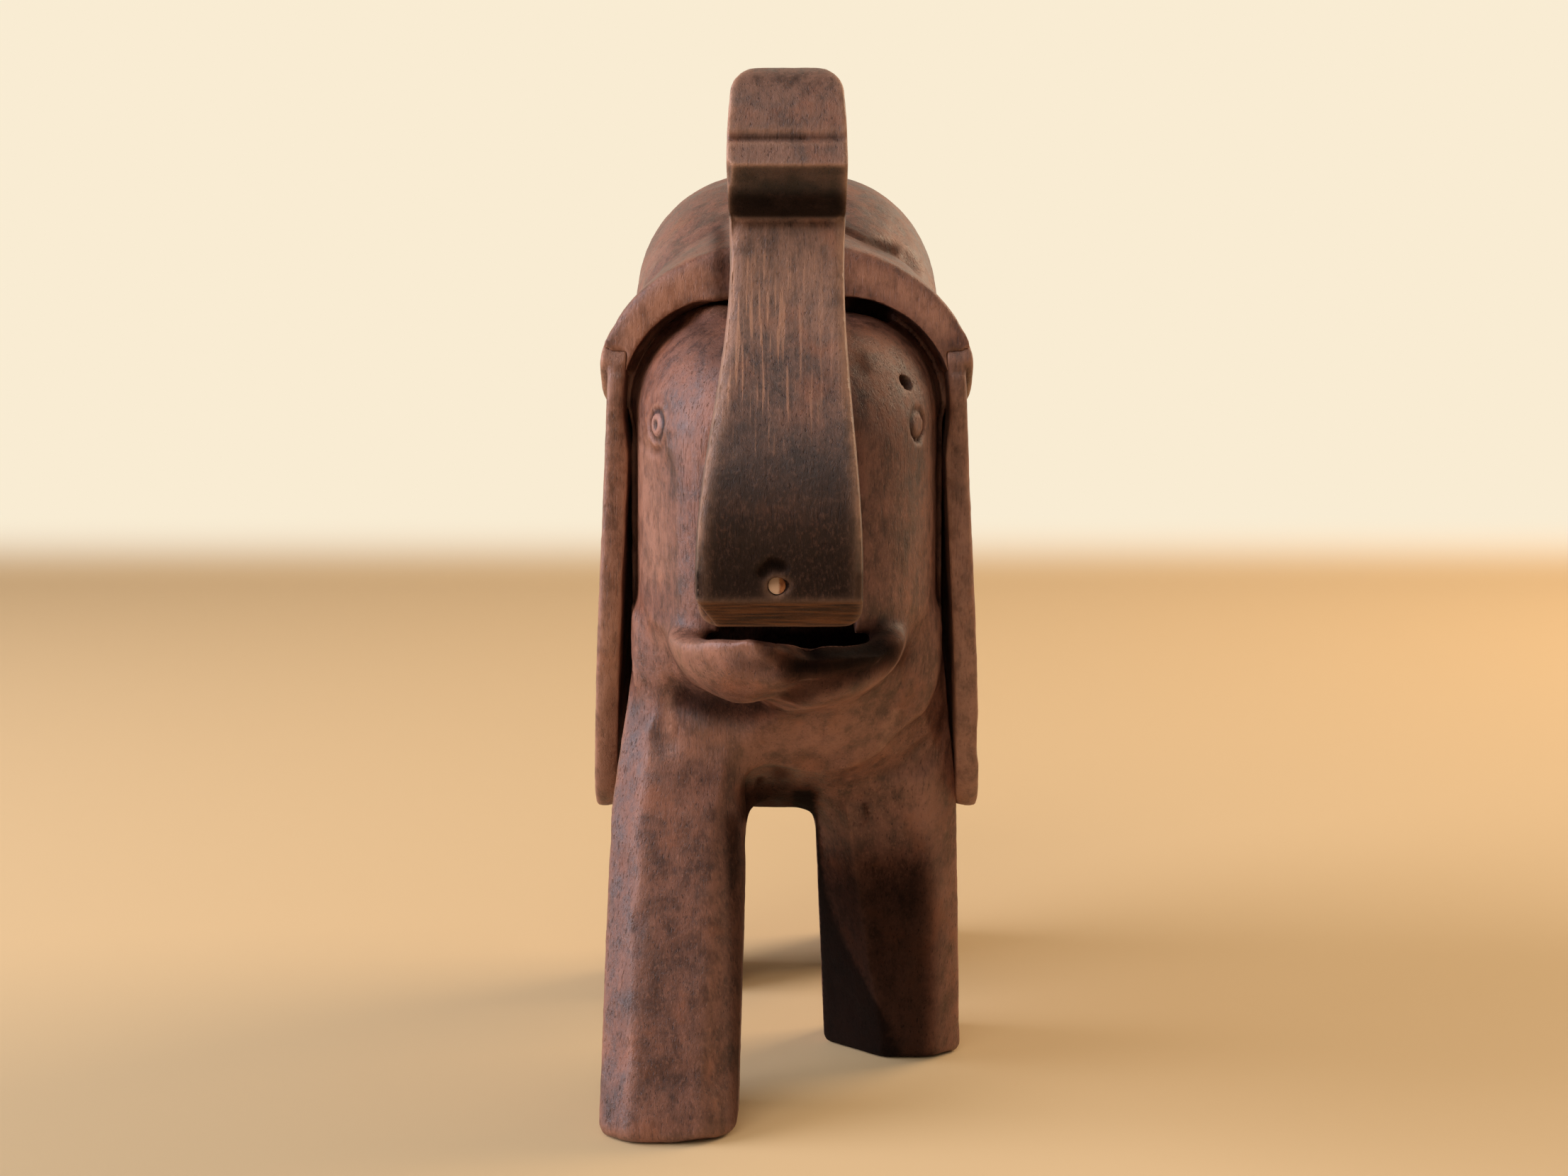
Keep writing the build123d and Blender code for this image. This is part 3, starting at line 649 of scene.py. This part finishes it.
def mouth_corners(points):
    """Where each cheek runs down into the throat and the shoulder."""
    across = np.abs(points[:, 0])
    inside = (across > 12.8) & (points[:, 1] > -52) & (points[:, 1] < -25.5)
    return inside * soft_step((84 - points[:, 2]) / 4) * soft_step((points[:, 2] - 62) / 4)


def chest_sides(points):
    """Where the chest runs over into the shoulders."""
    low, high = points[:, 2] - 40, 68 - points[:, 2]
    return (points[:, 1] < -14) * soft_step(low / 4) * soft_step(high / 6)


for _ in range(2):
    fill_creases(body, COVE_ROUNDS["legs"], legs_and_chest)
    fill_creases(body, COVE_ROUNDS["mouth"], mouth_corners)
for _ in range(4):
    fill_creases(body, COVE_ROUNDS["chest"], chest_sides)
print("coves filled on", body.name)

# %% Body: hood and face
RIGHT_RIM_EDGE = [(-23.5, -33, 118.5), (-18, -33, 124), (-10, -33, 127.5)]
LEFT_RIM_EDGE = [(10, -33, 127.5), (18, -33, 124), (23.5, -33, 118.5)]
RIGHT_RIM_WELT = [(1015, 444), (975, 450), (940, 468), (912, 492), (895, 525), (888, 570)]
LEFT_RIM_WELT = [(1268, 460), (1295, 480), (1318, 515), (1328, 560), (1330, 640)]
RIM_NICK = [(1206, 440), (1236, 446)]
VALLEY = [(1190, 322), (1228, 341), (1262, 354), (1285, 366)]
FLAT_CHEEK = (-18.3, -40.4, 85.5)
FLAT_CHEEK_FACING = (-0.889, -0.457, 0.0)

gouge(body, seen_path(body, RIGHT_RIM_WELT), radius=4.5, depth=-1.4)
gouge(body, seen_path(body, LEFT_RIM_WELT), radius=4.0, depth=-0.9)
gouge(body, seen_path(body, RIM_NICK), radius=3.0, depth=1.4)
sand(body, RIGHT_RIM_EDGE, radius=6.0, rounds=70)
sand(body, LEFT_RIM_EDGE, radius=5.0, rounds=30)
gouge(body, seen_path(body, VALLEY), radius=4.2, depth=1.3)
knife(body, FLAT_CHEEK, FLAT_CHEEK_FACING, reach=14.5, fade=0.25)
print("hood and face cut on", body.name)

# %% Body: jaw
JAW_LIP = [(-15, -48, 72.5), (-9, -60, 72.5), (0, -63, 72.5), (9, -60, 72.5), (15, -48, 72.5)]
JAW_CREASE = [(965, 985), (1010, 998), (1060, 1002), (1105, 990), (1140, 972), (1200, 950), (1253, 932)]
JAW_SCOOP = [(1150, 922), (1195, 924), (1240, 910)]
JAW_SWELLING = [(1000, 915), (1050, 912), (1075, 925)]
JAW_CHIPS = [
    [(1036, 918), (1046, 926)], [(1084, 910), (1098, 924)], [(1112, 930), (1134, 940)],
    [(1122, 908), (1140, 918)], [(1064, 942), (1090, 948)], [(1152, 930), (1160, 944)],
]
# Places that are rubbed smooth: a line, how far the sandpaper reaches and how often it passes
JAW_RUBBED = [
    ([(884, 858), (892, 880), (906, 905)], 6.0, 70),
    ([(1334, 858), (1326, 880), (1312, 905)], 6.0, 70),
    ([(1326, 905), (1316, 985), (1285, 1025), (1245, 1058)], 7.0, 90),
    ([(948, 890), (972, 896), (1000, 902)], 6.0, 60),
    ([(1290, 892), (1270, 896), (1250, 900)], 5.0, 50),
]

sand(body, JAW_LIP, radius=5.0, rounds=20)
gouge(body, seen_path(body, JAW_CREASE), radius=5.0, depth=1.3)
push(body, seen_path(body, JAW_SCOOP), radius=6.5, move=(0, 1.6, -1.8))
push(body, seen_path(body, JAW_SWELLING), radius=4.5, move=(0, -0.5, 0.9))
for chip in JAW_CHIPS:
    gouge(body, seen_path(body, chip), radius=2.0, depth=0.6, sharp=True)
for line, reach, rounds in JAW_RUBBED:
    sand(body, seen_path(body, line), reach, rounds)
print("jaw cut on", body.name)

# %% Body: eyes
# Side and strength of the cuts round each eye
CARVED_STRENGTH = ((-1, 1.0), (1, 0.04))
EYE_RING_RADIUS = 2.2
EYELID_RADIUS = 3.8
EYE_BAG_RADIUS = 4.0
UNDER_EYE = [(902, 620), (922, 640), (944, 615)]


def cheek_point(y, z, side):
    """The outermost point of the cheek near y and z."""
    points = read_points(body)
    near = (np.abs(points[:, 1] - y) < 0.7) & (np.abs(points[:, 2] - z) < 0.7)
    return (side * np.max(side * points[near, 0]), y, z)


def round_the_eye(side, radius, start, end):
    """Points on the cheek along an arc round the eye, angles in degrees from the front."""
    angles = np.radians(np.linspace(start, end, 13))
    return [cheek_point(EYE_Y - 0.9 * radius * cos(a), EYE_HEIGHT + radius * sin(a), side) for a in angles]


for side, strength in CARVED_STRENGTH:
    centre = cheek_point(EYE_Y, EYE_HEIGHT, side)
    ring = round_the_eye(side, EYE_RING_RADIUS, 0, 360)
    gouge(body, ring, radius=0.8, depth=0.40 * strength, sharp=True)
    gouge(body, [centre], radius=1.0, depth=0.6 * strength)
    gouge(body, round_the_eye(side, EYELID_RADIUS, 30, 150), radius=0.9, depth=0.35 * strength)
    gouge(body, round_the_eye(side, EYE_BAG_RADIUS, 230, 310), radius=1.3, depth=0.4 * strength)
gouge(body, seen_path(body, UNDER_EYE), radius=0.9, depth=0.35, sharp=True)
print("eyes cut on", body.name)

# %% Body: legs
LEG_EDGES = (
    [(952, 1120), (946, 1350), (938, 1590)],
    [(1018, 1140), (1026, 1350), (1028, 1590)],
    [(1290, 1130), (1300, 1300), (1305, 1470)],
)
for edge in LEG_EDGES:
    sand(body, seen_path(body, edge), radius=9.0, rounds=60)
print("legs rounded on", body.name)

# %% Body: surface
def legs_and_back(points):
    """Everything but the head, whose few cuts are all placed one by one."""
    return (points[:, 2] < 64) | (points[:, 1] > -20)


knife_all_over(body, cuts=260, reach=6.5, depth=0.20, tilt=0.03, seed=11, where=legs_and_back)
apply_modifier(body, "SMOOTH", factor=0.5, iterations=2)
mark_wear(body, rounds=24, reach=0.45)
roughen(body, size=2.5, depth=0.16)
roughen(body, size=0.8, depth=0.06)
print("surface cut on", body.name)

# %% [markdown]
# Shade is painted into the colour as well. The cut on the inside of the left fore leg is almost black
# with painted shade, and so are the scooped half of the jaw, the underside of the chest and the valley
# behind the hood's rim; the crease under the jaw and the face beside the trunk get lighter painted shade.
# Painted highlights and sheen make the hood's rim, the flat cheek, the chest, an edge of each fore leg
# and the jaw's lip paler.

# %% Body: painted shade and light
# Lines in the picture where shade is painted, each with its width in pixels and its strength; the last one
# darkens a tool mark on the left fore leg
SHADE_AND_MARK_LINES = [
    (JAW_CREASE, 36, 0.72),
    (JAW_SCOOP, 58, 1.0),
    ([(1122, 940), (1190, 938), (1255, 918)], 52, 1.0),
    ([(1040, 938), (1090, 935)], 30, 0.35),
    ([(1070, 898), (1160, 897), (1250, 893)], 16, 0.9),
    ([(1090, 925), (1150, 930)], 36, 0.55),
    ([(1034, 1160), (1040, 1300), (1042, 1580)], 26, 0.65),
    ([(1235, 560), (1285, 640)], 90, 0.25),
    (VALLEY[:3], 16, 0.65),
    ([(1016, 330), (1018, 430)], 24, 0.6),
    ([(990, 470), (1010, 500)], 46, 0.35),
    ([(1214, 505), (1222, 520)], 26, 0.5),
    ([(1221, 1132), (1222, 1164)], 7, 0.7),
]
# Lines in the picture where light is painted, with the same columns: painted highlights and sheen on the
# hood's rim, the flat cheek, the chest, an edge of each fore leg and the jaw's lip
PAINTED_LIGHT_LINES = [
    ([(1215, 388), (1255, 402), (1295, 425), (1325, 460)], 36, 1.0),
    ([(985, 395), (950, 412), (915, 440), (890, 475)], 42, 1.0),
    ([(905, 630), (914, 720), (922, 800)], 46, 0.55),
    ([(960, 1050), (1060, 1050), (1160, 1040), (1230, 1020)], 60, 0.35),
    ([(945, 985), (943, 1060)], 12, 0.6),
    ([(1262, 1006), (1245, 1052)], 10, 0.7),
    ([(940, 900), (1000, 915), (1060, 920)], 30, 0.4),
]
# Edge of the painted shade on the cut of the left fore leg: how far across it lies at each height of the
# picture
CUT_DOWN = (1140, 1260, 1328, 1380, 1436, 1480)
CUT_ACROSS = (1152, 1168, 1194, 1222, 1252, 1274)
# Painted shade beside the cut, over the lower part of the left fore leg
SHADE_ACROSS = 1345
SHADE_DOWN = 1130
SHADE_STRENGTH = 0.88
BETWEEN_LEGS_ACROSS = 1097
BETWEEN_LEGS_HALF = 72
UNDER_CHEST_TOP = 1085
UNDER_CHEST_END = 1165
UNDER_CHEST_SHADE = 0.85
FRONT_HALF_Y = 12
LEG_TOP_HEIGHT = 46

points = read_points(body)
x, y, z = points.T
_, facing_y, facing_z = read_normals(body).T
facing_front = soft_step(-4 * facing_y)
facing_camera = soft_step(0.3 - 3 * facing_y + facing_z)
across, down = in_picture(points).T
places = np.stack([across, down, 0 * down], 1)
front_half = y < FRONT_HALF_Y


def paint_lines_of_shade_and_light(lines, name):
    """Paints the named attribute along lines in the picture, strongest on each line: painted shade into
    stain_and_shade, painted light into wear_and_light.
    """
    for line, width, strength in lines:
        gap = distance_to_path(places, [(a, d, 0) for a, d in line])
        paint(body, front_half * facing_camera * strength * soft_step(1 - gap / width), name)


# Painted shade: almost black on the cut of the left fore leg, darker beside it, and under the chest between
# the legs
on_left_fore_leg = (x > 1) & front_half & (z < LEG_TOP_HEIGHT)
cut_shade = soft_step((np.interp(down, CUT_DOWN, CUT_ACROSS) - across) / 10 + 0.5)
shade_beside_cut = soft_step((SHADE_ACROSS - across) / 50) * soft_step((down - SHADE_DOWN) / 140)
paint(body, on_left_fore_leg * facing_front * cut_shade)
paint(body, on_left_fore_leg * facing_front * shade_beside_cut * SHADE_STRENGTH)
between_legs = soft_step((BETWEEN_LEGS_HALF - np.abs(across - BETWEEN_LEGS_ACROSS)) / 30)
shade_under_chest = soft_step((down - UNDER_CHEST_TOP) / 40) * soft_step((UNDER_CHEST_END - down) / 12)
paint(body, front_half * between_legs * shade_under_chest * UNDER_CHEST_SHADE)
paint_lines_of_shade_and_light(SHADE_AND_MARK_LINES, "stain_and_shade")
paint_lines_of_shade_and_light(PAINTED_LIGHT_LINES, "wear_and_light")
finish_piece(body, LARGE_PIECE, body_wood, "figure", "body_wood", "carved_body")

# %% [markdown]
# ## The trunk
# The trunk is the lever, and the piece that hands have worn most. It is a bent board with crisp
# edges, a rounded tip and a lip under it. Its front was finished with a rasp, which left pale
# scratches above and picked up dark grease below, where the fingers hold it.

# %% Trunk finish
# Places on the trunk in millimetres, each pair from where a finish starts to where it is full; the LIP pairs
# place the painted shade under the lip
GREASE_HEIGHTS = (116, 88)
GREASE_YS = (-44, -68)
RASP_LOW_HEIGHTS = (98, 108)
RASP_HIGH_HEIGHTS = (128, 119)
RASP_XS = (6, -3)
LIP_FOOT_HEIGHTS = (129.2, 130.0)
LIP_FADE_HEIGHTS = (136, 132)
LIP_TOP_HEIGHTS = (136.1, 135.6)
LIP_YS = (-66.6, -68.2)
BEVEL_HEIGHTS = (81.0, 80.4)
WAVE_HEIGHT = 22
GREASE_TONE = colour(42, 24, 14)
SCRATCH_TONE = colour(190, 136, 104)
FURROW_TONE = colour(72, 46, 34)
UNDER_LIP_SHADE_TONE = colour(22, 13, 9)
BEVEL_DARK = colour(60, 35, 17)
BEVEL_LIGHT = colour(142, 86, 44)


def handled_front(material, place, tone, speckle):
    """Pale rasp marks high on the front, dark grease below, painted shade under the lip, and a browner bevel
    at the foot.
    """
    axes = add_node(material, "ShaderNodeSeparateXYZ", {"Vector": place}).outputs
    height = axes["Z"]
    waves = plus(material, noise(material, place, 6.0, (1, 1, 1.6), 4.0, 0.6), -0.5)
    level = plus(material, height, times(material, waves, WAVE_HEIGHT * MM))

    def between(value, ends, to_low=0.0, to_high=1.0):
        return ramp(material, value, ends[0] * MM, ends[1] * MM, to_low, to_high)

    grease = times(material, between(level, GREASE_HEIGHTS), between(axes["Y"], GREASE_YS))
    grease = times(material, grease, ramp(material, speckle, 0.74, 0.44, 0.55, 1.0))
    tone = mix(material, grease, tone, GREASE_TONE)

    rasp = noise(material, place, 0.42, (1, 0.05, 0.045), 1.0, 0.5)
    # The marks are only where the surface faces forward, so they fade as the trunk swings up
    facing = add_node(material, "ShaderNodeNewGeometry").outputs["True Normal"]
    facing = add_node(material, "ShaderNodeSeparateXYZ", {"Vector": facing}).outputs["Y"]
    band = times(material, between(level, RASP_LOW_HEIGHTS), between(level, RASP_HIGH_HEIGHTS))
    band = times(material, band, between(axes["X"], RASP_XS, 0.20, 0.60))
    band = times(material, band, ramp(material, facing, -0.5, -0.8))
    tone = mix(material, times(material, band, ramp(material, rasp, 0.56, 0.68)), tone, SCRATCH_TONE)
    tone = mix(material, times(material, band, ramp(material, rasp, 0.44, 0.34)), tone, FURROW_TONE)

    # Painted shade on the underside of the lip
    lip_shade = between(height, LIP_FOOT_HEIGHTS)
    lip_shade = times(material, lip_shade, between(level, LIP_FADE_HEIGHTS, 0.75, 1.0))
    lip_shade = times(material, lip_shade, between(height, LIP_TOP_HEIGHTS))
    lip_shade = times(material, lip_shade, between(axes["Y"], LIP_YS))
    tone = mix(material, times(material, lip_shade, 0.96), tone, UNDER_LIP_SHADE_TONE)

    scratches = noise(material, place, 0.7, (0.08, 1, 1), 3.0)
    bevel_tone = mix(material, ramp(material, scratches, 0.35, 0.65), BEVEL_DARK, BEVEL_LIGHT)
    return mix(material, times(material, between(height, BEVEL_HEIGHTS), 0.85), tone, bevel_tone)


trunk_wood = stained_wood(
    "trunk_wood", colour(70, 46, 35), colour(120, 84, 67), colour(150, 108, 88), colour(190, 142, 112), 0.5,
    handled_front,
)
print("wood of the trunk:", trunk_wood.name)

# %% Trunk shape
TRUNK_VOXEL = 0.36
EDGE_HEIGHTS = np.arange(81, 130, 2.0)
CREASE_RIGHT = (-8, -74.3, 139.6)
CREASE_LEFT = (8, -74.3, 139.6)
CREASE_DEEP_END = (2, -74.3, 139.7)
LIP_CORNER = (-7.0, -74.5, 135.4)
FOOT_CORNER = (-10.6, -74, 79.2)

trunk = copy_node("trunk_lever", "trunk")
remesh(trunk, TRUNK_VOXEL)
apply_modifier(trunk, "SMOOTH", factor=0.5, iterations=4)


def corner_path(piece, direction, heights):
    """The points that reach furthest in a direction, one at each height."""
    points = read_points(piece)
    direction = np.array(direction, np.float32)
    path = []
    for height in heights:
        level = points[np.abs(points[:, 2] - height) < 0.5]
        path.append(level[np.argmax(level @ direction)])
    return path


right_edge = corner_path(trunk, (-1, -1, 0), EDGE_HEIGHTS)
left_edge = corner_path(trunk, (1, -1, 0), EDGE_HEIGHTS)
gouge(trunk, right_edge, radius=1.5, depth=0.40)
gouge(trunk, left_edge, radius=1.2, depth=0.25)
apply_modifier(trunk, "SMOOTH", factor=0.5, iterations=4)
gouge(trunk, [CREASE_RIGHT, CREASE_LEFT], radius=0.9, depth=0.25)
gouge(trunk, [CREASE_RIGHT, CREASE_DEEP_END], radius=0.8, depth=0.2, sharp=True)
knife(trunk, LIP_CORNER, facing=(-0.75, -0.5, -0.45), reach=3.2)
knife(trunk, FOOT_CORNER, facing=(-0.85, 0, -0.53), reach=5.0)
mark_wear(trunk, rounds=24, reach=0.18)
roughen(trunk, size=1.2, depth=0.09)

# %% [markdown]
# Just above the plug the trunk has a pit, and a hole runs round the plug; painted shade makes both dark.
# Grease darkens the whole lower half, also over the edge of the bevel. Painted light makes the neck
# pale, the front edges get wear and a painted highlight, and painted shade darkens under the lip.

# %% Trunk: pits, stain, painted shade and light
PIT = [(-3.0, -78.2, 84.6), (-1.9, -78.2, 85.8), (-0.8, -78.2, 85.4)]
PLUG_HOLE = [(-0.3, -77.8, 82.8)]
HOLE_SHADE = 0.95
GREASE_STRENGTH = 0.52
EDGE_WEAR_AND_HIGHLIGHT = 0.75
BEVEL_STAIN = 0.50
LIP_SHADE = 0.7
NECK_LIGHT = 0.30
NECK_HEIGHT = 122

gouge(trunk, PIT, radius=1.3, depth=0.6)
gouge(trunk, PLUG_HOLE, radius=1.1, depth=0.6)
points = read_points(trunk)
height = points[:, 2]
in_front = soft_step((-48 - points[:, 1]) / 22)
# Painted shade in the pit and in the hole round the plug
paint(trunk, soft_step(1.1 - distance_to_path(points, PIT) / 1.6) * HOLE_SHADE)
paint(trunk, soft_step(1.1 - distance_to_path(points, PLUG_HOLE) / 1.5) * HOLE_SHADE)
edge_gap = np.minimum(distance_to_path(points, right_edge[2:]), distance_to_path(points, left_edge[2:]))
on_edge = soft_step(1.3 - edge_gap / 1.1)
grease = in_front * soft_step((110 - height) / 26) * soft_step((height - 80) / 1.5)
# Painted shade on the underside of the lip
lip_shade = (points[:, 1] < -67.5) * soft_step((height - 129.5) / 0.6) * soft_step((134.5 - height) / 3)
paint(trunk, grease * (1 - 0.85 * on_edge) * GREASE_STRENGTH)
# Wear on the front edges, with a painted highlight along them
paint(trunk, on_edge * soft_step((height - 84) / 6) * EDGE_WEAR_AND_HIGHLIGHT, "wear_and_light")
paint(trunk, in_front * soft_step((82.5 - height) / 1.5) * BEVEL_STAIN)
paint(trunk, lip_shade * LIP_SHADE)
# Painted light on the neck
paint(trunk, in_front * soft_step(1 - np.abs(height - NECK_HEIGHT) / 12) * NECK_LIGHT, "wear_and_light")
finish_piece(trunk, LARGE_PIECE, trunk_wood, "lever", "trunk_wood", "trunk_lever")

# %% [markdown]
# ## Plug and pin
# A pale plug fills a hole at the foot of the trunk, broken off at a slant. The pivot pin is a
# piece of iron wire with rounded ends. Both are cylinders laid along their own axes. The plug's
# outer end is cut with a bisecting plane, and the pin's ends are bevelled.

# %% Plug and pin
ROD_SIDES = 48


def plain_material(name, dark, light, size, roughness, metal=0.0):
    """Two tones mixed by a cloudy pattern, with a fine matching relief."""
    material, shader = new_material(name)
    place = add_node(material, "ShaderNodeTexCoord").outputs["Object"]
    clouds = noise(material, place, size, (1, 1, 1), 5.0, 0.6)
    tone = mix(material, ramp(material, clouds, 0.35, 0.65), dark, light)
    material.node_tree.links.new(tone, shader.inputs["Base Color"])
    shader.inputs["Roughness"].default_value = roughness
    shader.inputs["Metallic"].default_value = metal
    bump = add_node(material, "ShaderNodeBump", {"Height": clouds, "Strength": 0.4, "Distance": 0.1 * MM})
    material.node_tree.links.new(bump.outputs["Normal"], shader.inputs["Normal"])
    return material


def rod(name, node, axis):
    """A round bar as long and as thick as a CAD node, along X or Y."""
    low, high = (np.array(corner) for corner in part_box(node))
    middle = (low + high) / 2
    size = high - low
    turn = (0, pi / 2, 0) if axis == 0 else (pi / 2, 0, 0)
    bpy.ops.object.select_all(action="DESELECT")
    bpy.ops.mesh.primitive_cylinder_add(
        vertices=ROD_SIDES, radius=size[2] / 2, depth=size[axis], location=middle, rotation=turn
    )
    bar = bpy.context.object
    bar.name = name
    bar.data.name = name
    bpy.ops.object.transform_apply(location=True, rotation=True, scale=True)
    return bar, low, high


PLUG_SPLIT = -1.0
PLUG_BREAK_DEPTH = 0.2
PLUG_BREAK_FACING = (0.15, -0.95, 0.25)
PLUG_PALE_TONE = colour(226, 180, 142)
PIN_END_ROUND = 0.3

plug_wood = plain_material("plug_wood", colour(150, 84, 42), colour(196, 122, 68), 0.8, 0.8)
plug_shader = plug_wood.node_tree.nodes["Principled BSDF"]
plug_tone = plug_shader.inputs["Base Color"].links[0].from_socket
plug_place = add_node(plug_wood, "ShaderNodeTexCoord").outputs["Object"]
plug_x = add_node(plug_wood, "ShaderNodeSeparateXYZ", {"Vector": plug_place}).outputs["X"]
plug_x = plus(plug_wood, plug_x, times(plug_wood, noise(plug_wood, plug_place, 0.6), 0.4 * MM))
pale_half = ramp(plug_wood, plug_x, (PLUG_SPLIT + 0.4) * MM, PLUG_SPLIT * MM)
plug_tone = mix(plug_wood, pale_half, plug_tone, PLUG_PALE_TONE)
plug_wood.node_tree.links.new(plug_tone, plug_shader.inputs["Base Color"])
plug, plug_low, plug_high = rod("plug_chip", "trunk_plug", 1)
bpy.ops.object.mode_set(mode="EDIT")
bpy.ops.mesh.select_all(action="SELECT")
break_x, _, break_z = (plug_low + plug_high) / 2
bpy.ops.mesh.bisect(
    plane_co=(break_x, plug_low[1] + PLUG_BREAK_DEPTH * MM, break_z),
    plane_no=PLUG_BREAK_FACING, use_fill=True, clear_outer=True,
)
bpy.ops.object.mode_set(mode="OBJECT")
finish_piece(plug, SMALL_PIECE, plug_wood, "lever", "plug_wood", "trunk_plug")
plug.data.polygons.foreach_set("use_smooth", [False] * len(plug.data.polygons))

pin_iron = plain_material("pin_iron", colour(46, 40, 36), colour(88, 80, 74), 1.2, 0.5, 1.0)
pin, _, _ = rod("pivot_wire", "pivot_pin", 0)
apply_modifier(pin, "BEVEL", width=PIN_END_ROUND * MM, segments=3, limit_method="ANGLE")
finish_piece(pin, SMALL_PIECE, pin_iron, "figure", "pin_iron", "pivot_pin")

# %% [markdown]
# ## The ears
# Thin boards let into the sides of the hood. From in front only their edges show, but from the
# side they are the largest flat surfaces, so they get a shallow hollow and their own knife cuts.

# %% Ears
EAR_VOXEL = 0.45
ROLL_UNDERSIDE = 96
INNER_THICKENING = 0.9


def below_the_roll(points):
    """The flat part of an ear, under the thick roll along its top."""
    return points[:, 2] < ROLL_UNDERSIDE


for side, sign, seed in (("left", 1, 13), ("right", -1, 14)):
    ear = copy_node(side + "_ear", side + "_ear_board")
    remesh(ear, EAR_VOXEL)
    push(ear, [(sign * 27, -4, 72), (sign * 28, -8, 56)], radius=16.0, move=(sign * -1.3, 0, 0))
    inner_face = read_normals(ear)[:, 0] * sign < -0.6
    points = read_points(ear)
    points[:, 0] -= sign * INNER_THICKENING * inner_face * soft_step((104 - points[:, 2]) / 8)
    write_points(ear, points)
    hollow = [(sign * 29, -10, 96), (sign * 31, -12, 75), (sign * 32, -14, 58)]
    gouge(ear, hollow, radius=14.0, depth=0.6)
    knife_all_over(ear, cuts=90, reach=5.0, depth=0.08, tilt=0.02, seed=seed, where=below_the_roll)
    apply_modifier(ear, "SMOOTH", factor=0.5, iterations=3)
    mark_wear(ear, rounds=20, reach=0.30)
    # Wear makes the whole ear paler, and a painted sheen makes its lower part paler still
    paint(ear, 0.32 + soft_step((95 - read_points(ear)[:, 2]) / 30) * 0.20, "wear_and_light")
    roughen(ear, size=2.0, depth=0.12)
    finish_piece(ear, EAR_PIECE, ear_wood, "figure", "ear_wood", side + "_ear")

# %% [markdown]
# ## The dowels
# Each ear is held by two short dowels in blind holes. They can't be seen in the finished
# elephant, but an ear that is taken off shows them, so they get a plain wood of their own.

# %% Dowels
peg_wood = plain_material("peg_wood", colour(128, 90, 64), colour(168, 124, 92), 1.0, 0.75)
for side in ("left", "right"):
    dowels = copy_node(side + "_ear_pegs", side + "_ear_dowels")
    finish_piece(dowels, SMALL_PIECE, peg_wood, "figure", "peg_wood", side + "_ear_pegs")

# %% [markdown]
# ## The tail
# A thin strip that hangs from a tenon in the rump. The tuft at its end gets a few gouge lines
# for the hair.

# %% Tail
TAIL_VOXEL = 0.3
HAIR_LINES = (-1.9, -0.6, 0.7, 2.0)

tail = copy_node("tail", "tail_strip")
remesh(tail, TAIL_VOXEL)
for hair_x in HAIR_LINES:
    hair = [(0.6 * hair_x, 79, 67), (hair_x, 79.5, 60), (0.4 * hair_x, 79, 53)]
    gouge(tail, hair, radius=0.6, depth=0.35, sharp=True)
knife_all_over(tail, cuts=60, reach=2.5, depth=0.08, tilt=0.03, seed=15)
apply_modifier(tail, "SMOOTH", factor=0.5, iterations=1)
mark_wear(tail, rounds=10, reach=0.2)
finish_piece(tail, TAIL_PIECE, body_wood, "figure", "tail_wood", "tail")
